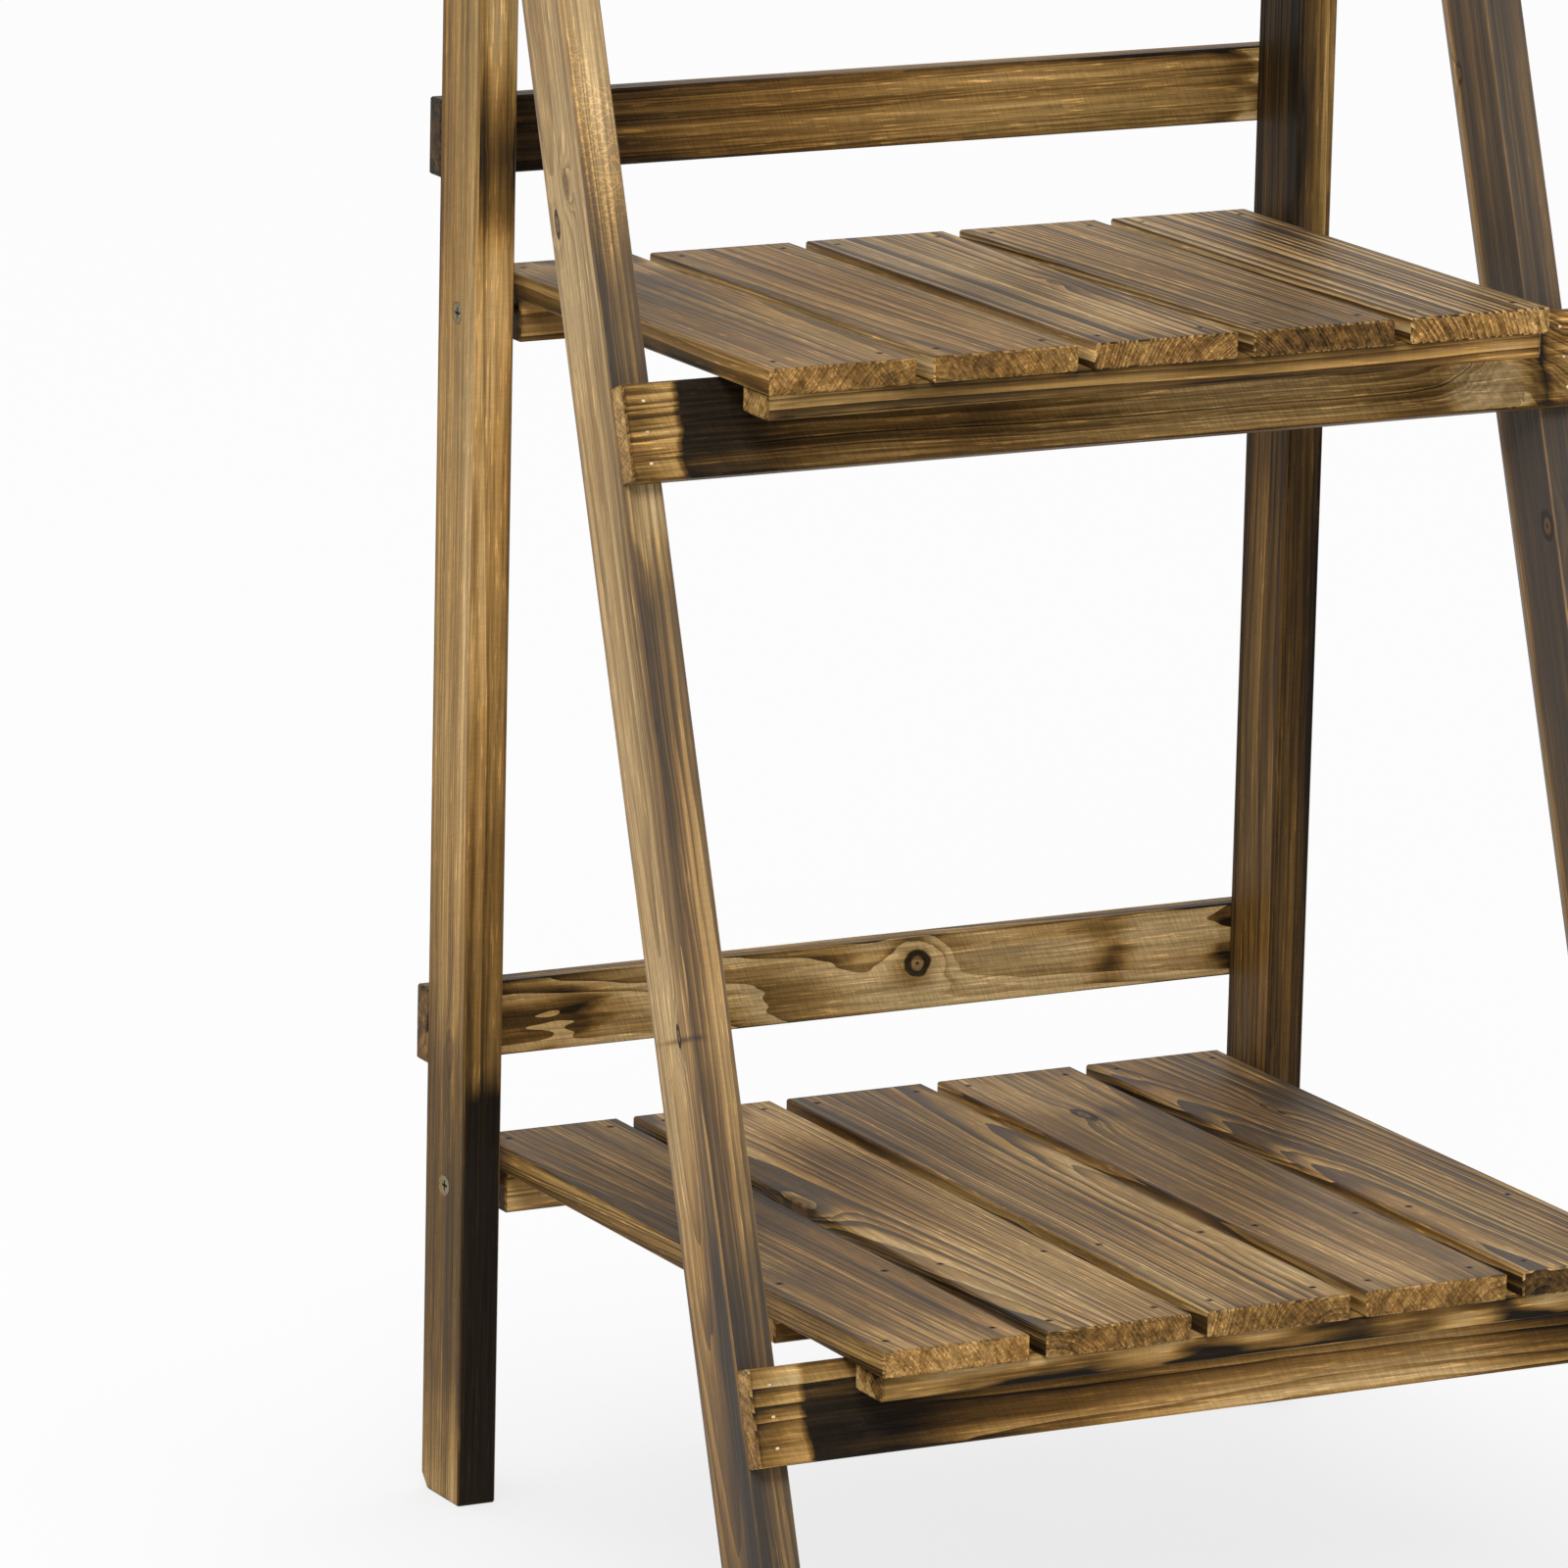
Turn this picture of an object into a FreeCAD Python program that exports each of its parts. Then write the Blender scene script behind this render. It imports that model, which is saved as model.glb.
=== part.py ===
"""Folding tiered plant stand: a hinged A-frame of fir boards with three slatted shelves.

Five groups of pieces are drawn, each in its own local frame and then set in place:
  rear    posts and back rails, hung from the top pivot axis and leaning with the rear frame
  front   legs and front rails, hung from the same axis and leaning with the front frame
  low, mid, top    one shelf each, drawn about the axis of the two screws it swings on
In every frame X runs across the stand, -Y faces the front and Z runs up the piece.
Sizes are in millimetres. The stand's origin is on the floor under the middle of its box.
"""
import FreeCAD
import Part
import os
import Sketcher
from FreeCAD import Vector

# Driving sizes: name, value, meaning
DRIVING = (
    ("stock_width", 19.5, "leg and post stock, across the stand"),
    ("stock_depth", 40, "leg and post stock, front to back"),
    ("edge_ease", 0.8, "sanded chamfer along every board"),
    ("rear_width", 450, "rear frame over the posts' outer faces"),
    ("leg_gap", 1.0, "space between a post and the leg beside it"),
    ("axis_rise", 95, "top pivot axis above the top shelf"),
    ("top_overrun", 26, "leg and post beyond the top pivot axis"),
    ("front_lean", 18.1, "front frame from the vertical, degrees"),
    ("rear_lean", 0.8, "rear frame from the vertical, degrees"),
    ("heel_cut", 6.5, "corner taken off the back of each post's foot"),
    ("low_tier_height", 170, "top of the low shelf above the floor"),
    ("tier_rise", 415.5, "from one shelf to the next"),
    ("slat_count", 5, "slats in a shelf"),
    ("shelf_clearance", 0.7, "swinging shelf beside the bolts' ends"),
    ("slat_gap", 8.4, "space between two slats"),
    ("slat_thickness", 12, "one slat, top to bottom"),
    ("rear_overhang", 17.5, "slats behind the shelf's pivot"),
    ("fold_clearance", 2, "folded shelf before the back rail"),
    ("rear_batten_width", 20, "rear batten, front to back"),
    ("rear_batten_height", 20, "rear batten, top to bottom"),
    ("batten_width", 24, "front and middle battens, front to back"),
    ("batten_thickness", 12, "front and middle battens, top to bottom"),
    ("batten_inset", 1.5, "battens' ends inside the shelf's sides"),
    ("front_batten_setback", 5, "front batten behind the slats' front ends"),
    ("low_slack", 10.9, "low front batten before its rail"),
    ("mid_slack", 24, "middle front batten before its rail"),
    ("top_slack", 31.6, "top front batten before its rail"),
    ("middle_batten_setback", 107.5, "middle batten behind the slats' front ends"),
    ("batten_ease", 3, "lead-in along the front batten's lower back edge"),
    ("rail_thickness", 12, "front and back rails, front to back"),
    ("front_rail_height", 44, "front rails, along the legs"),
    ("rear_rail_height", 36, "back rails, along the posts"),
    ("rear_rail_lift", 36, "underside of the low back rail above the low shelf"),
    ("rear_rail_gain", 5.5, "further lift of each next back rail"),
    ("rest_clearance", 0.4, "slats above the front rail that carries them"),
    ("nail_width", 1.8, "brad nail, wide side"),
    ("nail_thickness", 1.2, "brad nail, narrow side"),
    ("nail_bite", 8.3, "nail past the board that it holds"),
    ("nail_sink", 0.3, "nail's end below the surface"),
    ("nail_clearance", 0.1, "nail in its hole, each side"),
    ("slat_nail_inset", 10, "nails inside a slat's sides"),
    ("rear_nail_offset", 4, "rear slat nails behind the pivot screws"),
    ("front_rail_nail_pitch", 14, "between the three nails at a front rail's end"),
    ("rear_rail_nail_pitch", 16, "between the two nails at a back rail's end"),
    ("screw_diameter", 4.5, "shelf pivot screw, plain shank"),
    ("screw_bite", 23, "pivot screw in the rear batten"),
    ("screw_head_diameter", 9.5, "countersunk head"),
    ("screw_head_sink", 0.3, "head below the post's outer face"),
    ("recess_span", 5, "cross recess in the screw head, tip to tip"),
    ("recess_width", 1.3, "one arm of the cross recess"),
    ("recess_depth", 1.6, "cross recess"),
    ("bolt_diameter", 6, "top pivot bolt"),
    ("bolt_head_diameter", 14, "low bolt head, where it meets the leg"),
    ("bolt_crown", 8, "low bolt head, its flat top"),
    ("bolt_head_height", 3.2, "low bolt head"),
    ("bolt_end", 0.5, "bolt beyond its nut"),
    ("washer_diameter", 14, "washers on the top pivot bolt"),
    ("spacer_clearance", 0.2, "spacer washer beside the leg"),
    ("nut_washer_thickness", 1, "washer under the nut"),
    ("nut_across_flats", 10, "nut on the top pivot bolt"),
    ("nut_height", 4, "nut on the top pivot bolt"),
    ("pin_clearance", 0.08, "bolt or screw in the hole it turns in, all round"),
    ("head_clearance", 0.3, "moving faces beside a bolt or screw head"),
)

# Sizes that follow from the driving ones: name, formula, meaning
DERIVED = (
    ("post_outer", "rear_width / 2", "post's outer face from the middle"),
    ("post_inner", "post_outer - stock_width", "post's inner face from the middle"),
    ("leg_inner", "post_outer + leg_gap", "leg's inner face from the middle"),
    ("leg_outer", "leg_inner + stock_width", "leg's outer face from the middle"),
    ("half_depth", "stock_depth / 2", "leg or post face from its centre line"),
    ("rail_face", "half_depth + rail_thickness", "rail's outer face from that centre line"),
    ("nut_stack", "nut_washer_thickness + nut_height + bolt_end", "bolt inside the post"),
    ("shelf_side", "post_inner - nut_stack - shelf_clearance", "shelf's side from the middle"),
    ("slat_width", "(2 * shelf_side - (slat_count - 1) * slat_gap) / slat_count", "one slat, across"),
    ("slat_pitch", "slat_width + slat_gap", "from one slat to the next"),
    ("slat_top", "half_depth - fold_clearance", "slats' upper face over the shelf's pivot"),
    ("pivot_drop", "slat_top - slat_thickness", "shelf's pivot below the slats"),
    ("rear_slope", "tan(rear_lean * 1 deg)", "rear frame's run for each unit of rise"),
    ("rear_stretch", "1 / cos(rear_lean * 1 deg)", "length on a post for each unit of rise"),
    ("front_slope", "tan(front_lean * 1 deg)", "front frame's run for each unit of rise"),
    ("front_stretch", "1 / cos(front_lean * 1 deg)", "length on a leg for each unit of rise"),
    ("pivot_height", "low_tier_height + 2 * tier_rise + axis_rise", "top pivot axis above the floor"),
    ("low_pivot_height", "low_tier_height - slat_top", "low shelf's screws above the floor"),
    ("mid_pivot_height", "low_pivot_height + tier_rise", "middle shelf's screws above the floor"),
    ("top_pivot_height", "mid_pivot_height + tier_rise", "top shelf's screws above the floor"),
    ("low_drop", "pivot_height - low_pivot_height", "low shelf's screws below the top axis"),
    ("mid_drop", "pivot_height - mid_pivot_height", "middle shelf's screws below the top axis"),
    ("top_drop", "pivot_height - top_pivot_height", "top shelf's screws below the top axis"),
    ("rail_lip", "(pivot_drop - rest_clearance) * front_stretch - rail_face * front_slope",
     "front rail's lip up the leg from its shelf's pivot"),
    ("lip_reach", "rail_face / front_stretch - rail_lip * front_slope / front_stretch",
     "front rail's lip before the leg's centre line"),
    ("shelf_nose", "batten_width + front_batten_setback", "front batten's back to the slats' ends"),
    ("low_reach", "low_drop * (front_slope + rear_slope) + lip_reach + low_slack + shelf_nose",
     "low shelf from its pivot to its front edge"),
    ("mid_reach", "mid_drop * (front_slope + rear_slope) + lip_reach + mid_slack + shelf_nose",
     "middle shelf from its pivot to its front edge"),
    ("top_reach", "top_drop * (front_slope + rear_slope) + lip_reach + top_slack + shelf_nose",
     "top shelf from its pivot to its front edge"),
    ("rear_rail_start", "low_tier_height + rear_rail_lift", "low back rail above the floor"),
    ("rear_rail_rise", "tier_rise + rear_rail_gain", "from one back rail to the next"),
    ("foot_reach", "pivot_height * front_slope + half_depth * front_stretch",
     "front foot before the top axis"),
    ("box_front", "max(low_reach - low_drop * rear_slope; foot_reach)", "front of the stand's box"),
    ("box_back", "(pivot_height - rear_rail_start) * rear_slope + rail_face", "back of the stand's box"),
    ("top_axis_y", "(box_front - box_back) / 2", "top pivot axis behind the origin"),
    ("low_pivot_y", "top_axis_y + low_drop * rear_slope", "low shelf's screws behind the origin"),
    ("mid_pivot_y", "top_axis_y + mid_drop * rear_slope", "middle shelf's screws behind the origin"),
    ("top_pivot_y", "top_axis_y + top_drop * rear_slope", "top shelf's screws behind the origin"),
    ("nail_grip", "slat_thickness + nail_bite", "nail hole from the outer surface"),
    ("nail_length", "nail_grip - nail_sink", "brad nail"),
    ("slat_nail_spread", "slat_width - 2 * slat_nail_inset", "between the two nails across a slat"),
    ("batten_end", "shelf_side - batten_inset", "batten's end from the middle"),
    ("screw_length", "post_outer - batten_end + screw_bite - screw_head_sink", "whole pivot screw"),
    ("screw_head_depth", "(screw_head_diameter - screw_diameter) / 2", "square countersink"),
    ("screw_hole", "screw_diameter + 2 * pin_clearance", "hole for a pivot screw"),
    ("sink_diameter", "screw_head_diameter + 2 * (head_clearance + screw_head_sink)",
     "countersink in a post"),
    ("bolt_hole", "bolt_diameter + 2 * pin_clearance", "hole for the top pivot bolt"),
    ("spacer_thickness", "leg_gap - spacer_clearance", "washer between post and leg"),
    ("nut_point", "nut_across_flats / sqrt(3)", "nut's corners from the bolt's axis"),
)

SIDES = (("left", -1), ("right", 1))
TIERS = ("low", "mid", "top")

doc = FreeCAD.newDocument("plant_stand")
sizes = doc.addObject("Spreadsheet::Sheet", "Sizes")


def fill_sheet():
    """Write every size to the sheet, one row each, under its own name."""
    rows = [(name, str(size), note) for name, size, note in DRIVING]
    rows += [(name, "=" + formula, note) for name, formula, note in DERIVED]
    for row, (name, text, note) in enumerate(rows, start=1):
        sizes.set(f"A{row}", name)
        sizes.set(f"B{row}", text)
        sizes.set(f"C{row}", note)
        sizes.setAlias(f"B{row}", name)
    doc.recompute()


def bound(formula):
    """The formula with each size's name pointed at the sheet."""
    names = [row[0] for row in DRIVING + DERIVED]
    words = formula.replace("(", " ( ").replace(")", " ) ").split()
    return " ".join("Sizes." + word if word in names else word for word in words)


def amount(formula):
    """The formula's present value."""
    return float(sizes.evalExpression(bound(formula)))


def set_in_frame(obj, frame):
    """Move a finished piece from its local frame to its place on the stand."""
    axes = {"rear": Vector(1, 0, 0), "front": Vector(-1, 0, 0)}
    if frame in axes:
        lean = FreeCAD.Rotation(axes[frame], amount(f"{frame}_lean"))
        obj.Placement = FreeCAD.Placement(Vector(), lean)
        obj.setExpression("Placement.Rotation.Angle", bound(f"{frame}_lean"))
        obj.setExpression("Placement.Base.y", bound("top_axis_y"))
        obj.setExpression("Placement.Base.z", bound("pivot_height"))
    else:
        obj.setExpression("Placement.Base.y", bound(f"{frame}_pivot_y"))
        obj.setExpression("Placement.Base.z", bound(f"{frame}_pivot_height"))


def new_body(label, frame):
    body = doc.addObject("PartDesign::Body", label)
    body.Label = label
    set_in_frame(body, frame)
    return body


def new_sketch(body, plane, offset):
    """A sketch on one of the body's own origin planes, moved along that plane's normal."""
    sketch = body.newObject("Sketcher::SketchObject", f"{body.Label}_sketch")
    support = [feature for feature in body.Origin.OriginFeatures if feature.Role == plane][0]
    sketch.AttachmentSupport = [(support, "")]
    sketch.MapMode = "FlatFace"
    sketch.setExpression("AttachmentOffset.Base.z", bound(offset))
    return sketch


def hold(sketch, links, pins):
    """Tie points of a sketch together, and pin points at distances from the sketch's axes."""
    ties = list(links)
    driven = []
    for direction, shape, point, formula in pins:
        if formula == "0":
            axis = -2 if direction == "DistanceX" else -1
            ties.append(Sketcher.Constraint("PointOnObject", shape, point, axis))
        else:
            driven.append((sketch.ConstraintCount + len(ties), formula))
            ties.append(Sketcher.Constraint(direction, -1, 1, shape, point, amount(formula)))
    sketch.addConstraint(ties)
    for number, formula in driven:
        sketch.setExpression(f"Constraints[{number}]", bound(formula))


def outline(sketch, corners):
    """A closed run of straight lines through corners given as pairs of formulas."""
    first = sketch.GeometryCount
    count = len(corners)
    points = [Vector(amount(across), amount(along), 0) for across, along in corners]
    sketch.addGeometry([Part.LineSegment(points[n], points[(n + 1) % count]) for n in range(count)])
    links = [Sketcher.Constraint("Coincident", first + n, 2, first + (n + 1) % count, 1)
             for n in range(count)]
    pins = []
    for number, (across, along) in enumerate(corners):
        pins.append(("DistanceX", first + number, 1, across))
        pins.append(("DistanceY", first + number, 1, along))
    hold(sketch, links, pins)


def rectangle(sketch, across, along):
    (left, right), (low, high) = across, along
    outline(sketch, ((left, low), (right, low), (right, high), (left, high)))


def circle(sketch, across, along, diameter):
    centre = Vector(amount(across), amount(along), 0)
    index = sketch.addGeometry(Part.Circle(centre, Vector(0, 0, 1), amount(diameter) / 2))
    hold(sketch, (), (("DistanceX", index, 3, across), ("DistanceY", index, 3, along)))
    size = sketch.addConstraint(Sketcher.Constraint("Diameter", index, amount(diameter)))
    sketch.setExpression(f"Constraints[{size}]", bound(diameter))


def pad(body, sketch, length):
    feature = body.newObject("PartDesign::Pad", f"{body.Label}_pad")
    feature.Profile = sketch
    feature.setExpression("Length", bound(length))
    return worked_out(feature)


def worked_out(feature):
    """Compute a feature at once, with the sketch that it stands on."""
    feature.recompute(True)
    return feature


def pocket(body, sketch, depth=None, reverse=False):
    """Cut the sketch into the body, to a depth or right through, and make sure that it cut."""
    uncut = body.Tip.Shape.Volume
    feature = body.newObject("PartDesign::Pocket", f"{body.Label}_pocket")
    feature.Profile = sketch
    feature.Reversed = reverse
    if depth is None:
        feature.Type = "ThroughAll"
    else:
        feature.setExpression("Length", bound(depth))
    if worked_out(feature).Shape.Volume >= uncut:
        raise RuntimeError(f"{feature.Label} cuts nothing")


def revolve(body, sketch):
    """Turn the sketch about its own horizontal axis."""
    feature = body.newObject("PartDesign::Revolution", f"{body.Label}_turned")
    feature.Profile = sketch
    feature.ReferenceAxis = (sketch, ["H_Axis"])
    feature.Angle = 360
    worked_out(feature)


def ease_edges(body, feature):
    """Chamfer all of a feature's edges."""
    chamfer = body.newObject("PartDesign::Chamfer", f"{body.Label}_eased")
    chamfer.Base = (feature, [f"Edge{number}" for number in range(1, len(feature.Shape.Edges) + 1)])
    chamfer.setExpression("Size", bound("edge_ease"))
    worked_out(chamfer)


def board(label, frame, across, along, up):
    """A straight board with eased edges, from its limits across, front to back and up."""
    body = new_body(label, frame)
    sketch = new_sketch(body, "XY_Plane", up[0])
    rectangle(sketch, across, along)
    ease_edges(body, pad(body, sketch, f"{up[1]} - ( {up[0]} )"))
    return body


def around(middle, size):
    """Limits of something of a given size about a middle."""
    return f"{middle} - {size} / 2", f"{middle} + {size} / 2"


def brads(label, frame, corners, extent):
    """A group of like nails, plain blocks of one extent along X, Y and Z, each at its own corner."""
    blocks = []
    for corner in corners:
        block = doc.addObject("Part::Box", f"{label}_block")
        for side, size in zip(("Length", "Width", "Height"), extent):
            block.setExpression(side, bound(size))
        for axis, place in zip("xyz", corner):
            block.setExpression(f"Placement.Base.{axis}", bound(place))
        blocks.append(block)
    nails = group(label, blocks)
    set_in_frame(nails, frame)
    return nails


def nail_holes(body, plane, offset, places, depth=None, reverse=False):
    """Cut the hole of each nail, a little wider than the nail all round."""
    sketch = new_sketch(body, plane, offset)
    for across, along in places:
        rectangle(sketch, around(across, "( nail_width + 2 * nail_clearance )"),
                  around(along, "( nail_thickness + 2 * nail_clearance )"))
    pocket(body, sketch, depth, reverse)


def group(label, members):
    """Separate solids that share one node."""
    compound = doc.addObject("Part::Compound", label)
    compound.Label = label
    compound.Links = members
    return compound


# Heights and rows that several pieces share

def screw_place(tier):
    """A shelf's pivot along the post's centre line."""
    return f"- {tier}_drop * rear_stretch"


def rear_rail_limits(tier):
    steps = TIERS.index(tier)
    low = f"- ( pivot_height - rear_rail_start - {steps} * rear_rail_rise ) * rear_stretch"
    return low, f"{low} + rear_rail_height"


def front_rail_limits(tier):
    """A front rail's upper lip is just under the slats that it carries."""
    high = f"- {tier}_drop * front_stretch + rail_lip"
    return f"{high} - front_rail_height", high


def rear_rail_nails(tier, side):
    """Two nails in a column on the post's centre."""
    low, high = rear_rail_limits(tier)
    across = f"{side} * ( post_outer - stock_width / 2 )"
    middle = f"( {low} + {high} ) / 2"
    return [(across, f"{middle} + {step} * rear_rail_nail_pitch") for step in (-0.5, 0.5)]


def front_rail_nails(tier, side):
    """Three nails in a column on the leg's centre."""
    low, high = front_rail_limits(tier)
    across = f"{side} * ( leg_outer - stock_width / 2 )"
    middle = f"( {low} + {high} ) / 2"
    return [(across, f"{middle} + {step} * front_rail_nail_pitch") for step in (-1, 0, 1)]


def slat_middle(number):
    return f"( {number} - ( slat_count - 1 ) / 2 ) * slat_pitch"


def batten_rows(tier):
    """Where the slats are nailed down, front to back: one row for each batten under them."""
    rows = ["rear_nail_offset", f"- {tier}_reach + front_batten_setback + batten_width / 2"]
    if tier == "low":
        rows.append("- low_reach + middle_batten_setback + batten_width / 2")
    return rows


def slat_nails(number, row):
    """The two nails that hold one slat to one batten."""
    middle = slat_middle(number)
    return [(f"{middle} + {side} * slat_nail_spread / 2", row) for side in (-1, 1)]


# Rear frame

def rear_post(name, side):
    """A post with a flat foot, a heel cut, a bolt hole, three countersunk holes and nail holes."""
    body = new_body(f"rear_post_{name}", "rear")
    profile = new_sketch(body, "YZ_Plane", "post_inner" if side > 0 else "- post_outer")
    outline(profile, (
        ("- half_depth", "top_overrun"),
        ("- half_depth", "- pivot_height * rear_stretch + half_depth * rear_slope"),
        ("half_depth - heel_cut", "- pivot_height * rear_stretch - ( half_depth - heel_cut ) * rear_slope"),
        ("half_depth", "- pivot_height * rear_stretch + heel_cut"),
        ("half_depth", "top_overrun")))
    ease_edges(body, pad(body, profile, "stock_width"))
    bolt = new_sketch(body, "YZ_Plane", f"{side} * post_outer")
    circle(bolt, "0", "0", "bolt_hole")
    pocket(body, bolt, reverse=side < 0)
    countersunk_holes(body, side)
    back = [place for tier in TIERS for place in rear_rail_nails(tier, side)]
    nail_holes(body, "XZ_Plane", "- half_depth", back, "nail_grip - rail_thickness", True)
    return body


def countersunk_holes(body, side):
    """The three holes that the shelves' screws turn in, sunk for the heads on the outer face."""
    uncut = body.Tip.Shape.Volume
    sketch = new_sketch(body, "YZ_Plane", f"{side} * post_outer")
    for tier in TIERS:
        circle(sketch, "0", screw_place(tier), "screw_hole")
    worked_out(sketch)
    hole = body.newObject("PartDesign::Hole", f"{body.Label}_holes")
    hole.Profile = sketch
    hole.Reversed = side < 0
    hole.DepthType = "ThroughAll"
    hole.HoleCutType = "Countersink"
    hole.HoleCutCustomValues = True
    hole.setExpression("Diameter", bound("screw_hole"))
    hole.setExpression("HoleCutDiameter", bound("sink_diameter"))
    hole.HoleCutCountersinkAngle = 90
    if worked_out(hole).Shape.Volume >= uncut:
        raise RuntimeError(f"{hole.Label} cuts nothing")


def rear_rail(tier):
    body = board(f"rear_rail_{tier}", "rear", ("- post_outer", "post_outer"),
                 ("half_depth", "rail_face"), rear_rail_limits(tier))
    places = [place for _, side in SIDES for place in rear_rail_nails(tier, side)]
    nail_holes(body, "XZ_Plane", "- rail_face", places, reverse=True)
    return body


def rail_brads(label, frame, front, places):
    """Nails driven through rails, from the distance of their front ends behind the leg's centre."""
    corners = [(f"{across} - nail_width / 2", front, f"{up} - nail_thickness / 2")
               for across, up in places]
    return brads(label, frame, corners, ("nail_width", "nail_length", "nail_thickness"))


def rear_nails():
    places = [place for tier in TIERS for _, side in SIDES for place in rear_rail_nails(tier, side)]
    return rail_brads("rear_rail_nails", "rear", "rail_face - nail_sink - nail_length", places)


# Top pivot

def pivot_bolt(name, side):
    """A low-headed bolt from outside the leg, through leg, spacer and post, to its nut."""
    body = new_body(f"pivot_bolt_{name}", "rear")
    under_head = f"{side} * ( leg_outer + head_clearance )"
    top = f"{side} * ( leg_outer + head_clearance + bolt_head_height )"
    end = f"{side} * ( post_inner - nut_stack )"
    sketch = new_sketch(body, "XZ_Plane", "0")
    outline(sketch, (
        (top, "0"), (top, "bolt_crown / 2"), (under_head, "bolt_head_diameter / 2"),
        (under_head, "bolt_diameter / 2"), (end, "bolt_diameter / 2"), (end, "0")))
    revolve(body, sketch)
    return body


def washer(label, side, inner_face, thickness):
    """A flat ring on the bolt, its inner face at a distance from the stand's middle."""
    body = new_body(label, "rear")
    start = inner_face if side > 0 else f"- ( {inner_face} ) - {thickness}"
    sketch = new_sketch(body, "YZ_Plane", start)
    circle(sketch, "0", "0", "washer_diameter")
    circle(sketch, "0", "0", "bolt_hole")
    pad(body, sketch, thickness)
    return body


def nut(name, side):
    body = new_body(f"pivot_nut_{name}", "rear")
    outer = "post_inner - nut_washer_thickness"
    sketch = new_sketch(body, "YZ_Plane", f"{outer} - nut_height" if side > 0 else f"- ( {outer} )")
    flat = "nut_across_flats / 2"
    outline(sketch, (
        ("0", "nut_point"), (f"- {flat}", "nut_point / 2"), (f"- {flat}", "- nut_point / 2"),
        ("0", "- nut_point"), (flat, "- nut_point / 2"), (flat, "nut_point / 2")))
    circle(sketch, "0", "0", "bolt_hole")
    pad(body, sketch, "nut_height")
    return body


# Front frame

def front_leg(name, side):
    """A leg outside its post, with a flat foot, a bolt hole and nail holes for three rails."""
    body = new_body(f"front_leg_{name}", "front")
    profile = new_sketch(body, "YZ_Plane", "leg_inner" if side > 0 else "- leg_outer")
    outline(profile, (
        ("- half_depth", "top_overrun"),
        ("- half_depth", "- pivot_height * front_stretch - half_depth * front_slope"),
        ("half_depth", "- pivot_height * front_stretch + half_depth * front_slope"),
        ("half_depth", "top_overrun")))
    ease_edges(body, pad(body, profile, "stock_width"))
    bolt = new_sketch(body, "YZ_Plane", f"{side} * leg_outer")
    circle(bolt, "0", "0", "bolt_hole")
    pocket(body, bolt, reverse=side < 0)
    front = [place for tier in TIERS for place in front_rail_nails(tier, side)]
    nail_holes(body, "XZ_Plane", "half_depth", front, "nail_grip - rail_thickness")
    return body


def front_rail(tier):
    body = board(f"front_rail_{tier}", "front", ("- leg_outer", "leg_outer"),
                 ("- rail_face", "- half_depth"), front_rail_limits(tier))
    places = [place for _, side in SIDES for place in front_rail_nails(tier, side)]
    nail_holes(body, "XZ_Plane", "rail_face", places)
    return body


def front_nails():
    places = [place for tier in TIERS for _, side in SIDES for place in front_rail_nails(tier, side)]
    return rail_brads("front_rail_nails", "front", "- rail_face + nail_sink", places)


# Shelves

def slat(tier, number):
    middle = slat_middle(number)
    body = board(f"{tier}_slat_{number + 1}", tier, around(middle, "slat_width"),
                 (f"- {tier}_reach", "rear_overhang"), ("pivot_drop", "slat_top"))
    places = [place for row in batten_rows(tier) for place in slat_nails(number, row)]
    nail_holes(body, "XY_Plane", "slat_top", places)
    return body


def batten(label, tier, along, height, row):
    """A batten under the slats, with the holes of its own row of nails."""
    body = board(label, tier, ("- batten_end", "batten_end"), along,
                 (f"pivot_drop - {height}", "pivot_drop"))
    places = [place for number in range(slat_total) for place in slat_nails(number, row)]
    nail_holes(body, "XY_Plane", "pivot_drop", places, "nail_grip - slat_thickness")
    return body


def rear_batten(tier):
    """The batten that swings: each end is bored for a pivot screw."""
    body = batten(f"{tier}_rear_batten", tier, around("0", "rear_batten_width"),
                  "rear_batten_height", "rear_nail_offset")
    for _, side in SIDES:
        bore = new_sketch(body, "YZ_Plane", f"{side} * batten_end")
        circle(bore, "0", "0", "screw_hole")
        pocket(body, bore, "screw_bite + pin_clearance", reverse=side < 0)
    return body


def front_batten(tier):
    """The batten that hooks before the front rail, eased where it slides down past the rail."""
    along = (f"- {tier}_reach + front_batten_setback", f"- {tier}_reach + shelf_nose")
    body = batten(f"{tier}_front_batten", tier, along, "batten_thickness", batten_rows(tier)[1])
    cut = new_sketch(body, "YZ_Plane", "- shelf_side")
    back, foot = along[1], "pivot_drop - batten_thickness"
    outline(cut, ((f"{back} - batten_ease", f"{foot} - edge_ease"),
                  (f"{back} + edge_ease", f"{foot} - edge_ease"),
                  (f"{back} + edge_ease", f"{foot} + batten_ease")))
    pocket(body, cut, reverse=True)
    return body


def middle_batten():
    along = ("- low_reach + middle_batten_setback", "- low_reach + middle_batten_setback + batten_width")
    return batten("low_middle_batten", "low", along, "batten_thickness", batten_rows("low")[2])


def shelf_nails(tier):
    """Nails driven straight down through the slats."""
    places = [place for row in batten_rows(tier) for number in range(slat_total)
              for place in slat_nails(number, row)]
    corners = [(f"{across} - nail_width / 2", f"{row} - nail_thickness / 2",
                "slat_top - nail_sink - nail_length") for across, row in places]
    return brads(f"{tier}_slat_nails", tier, corners, ("nail_width", "nail_thickness", "nail_length"))


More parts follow.
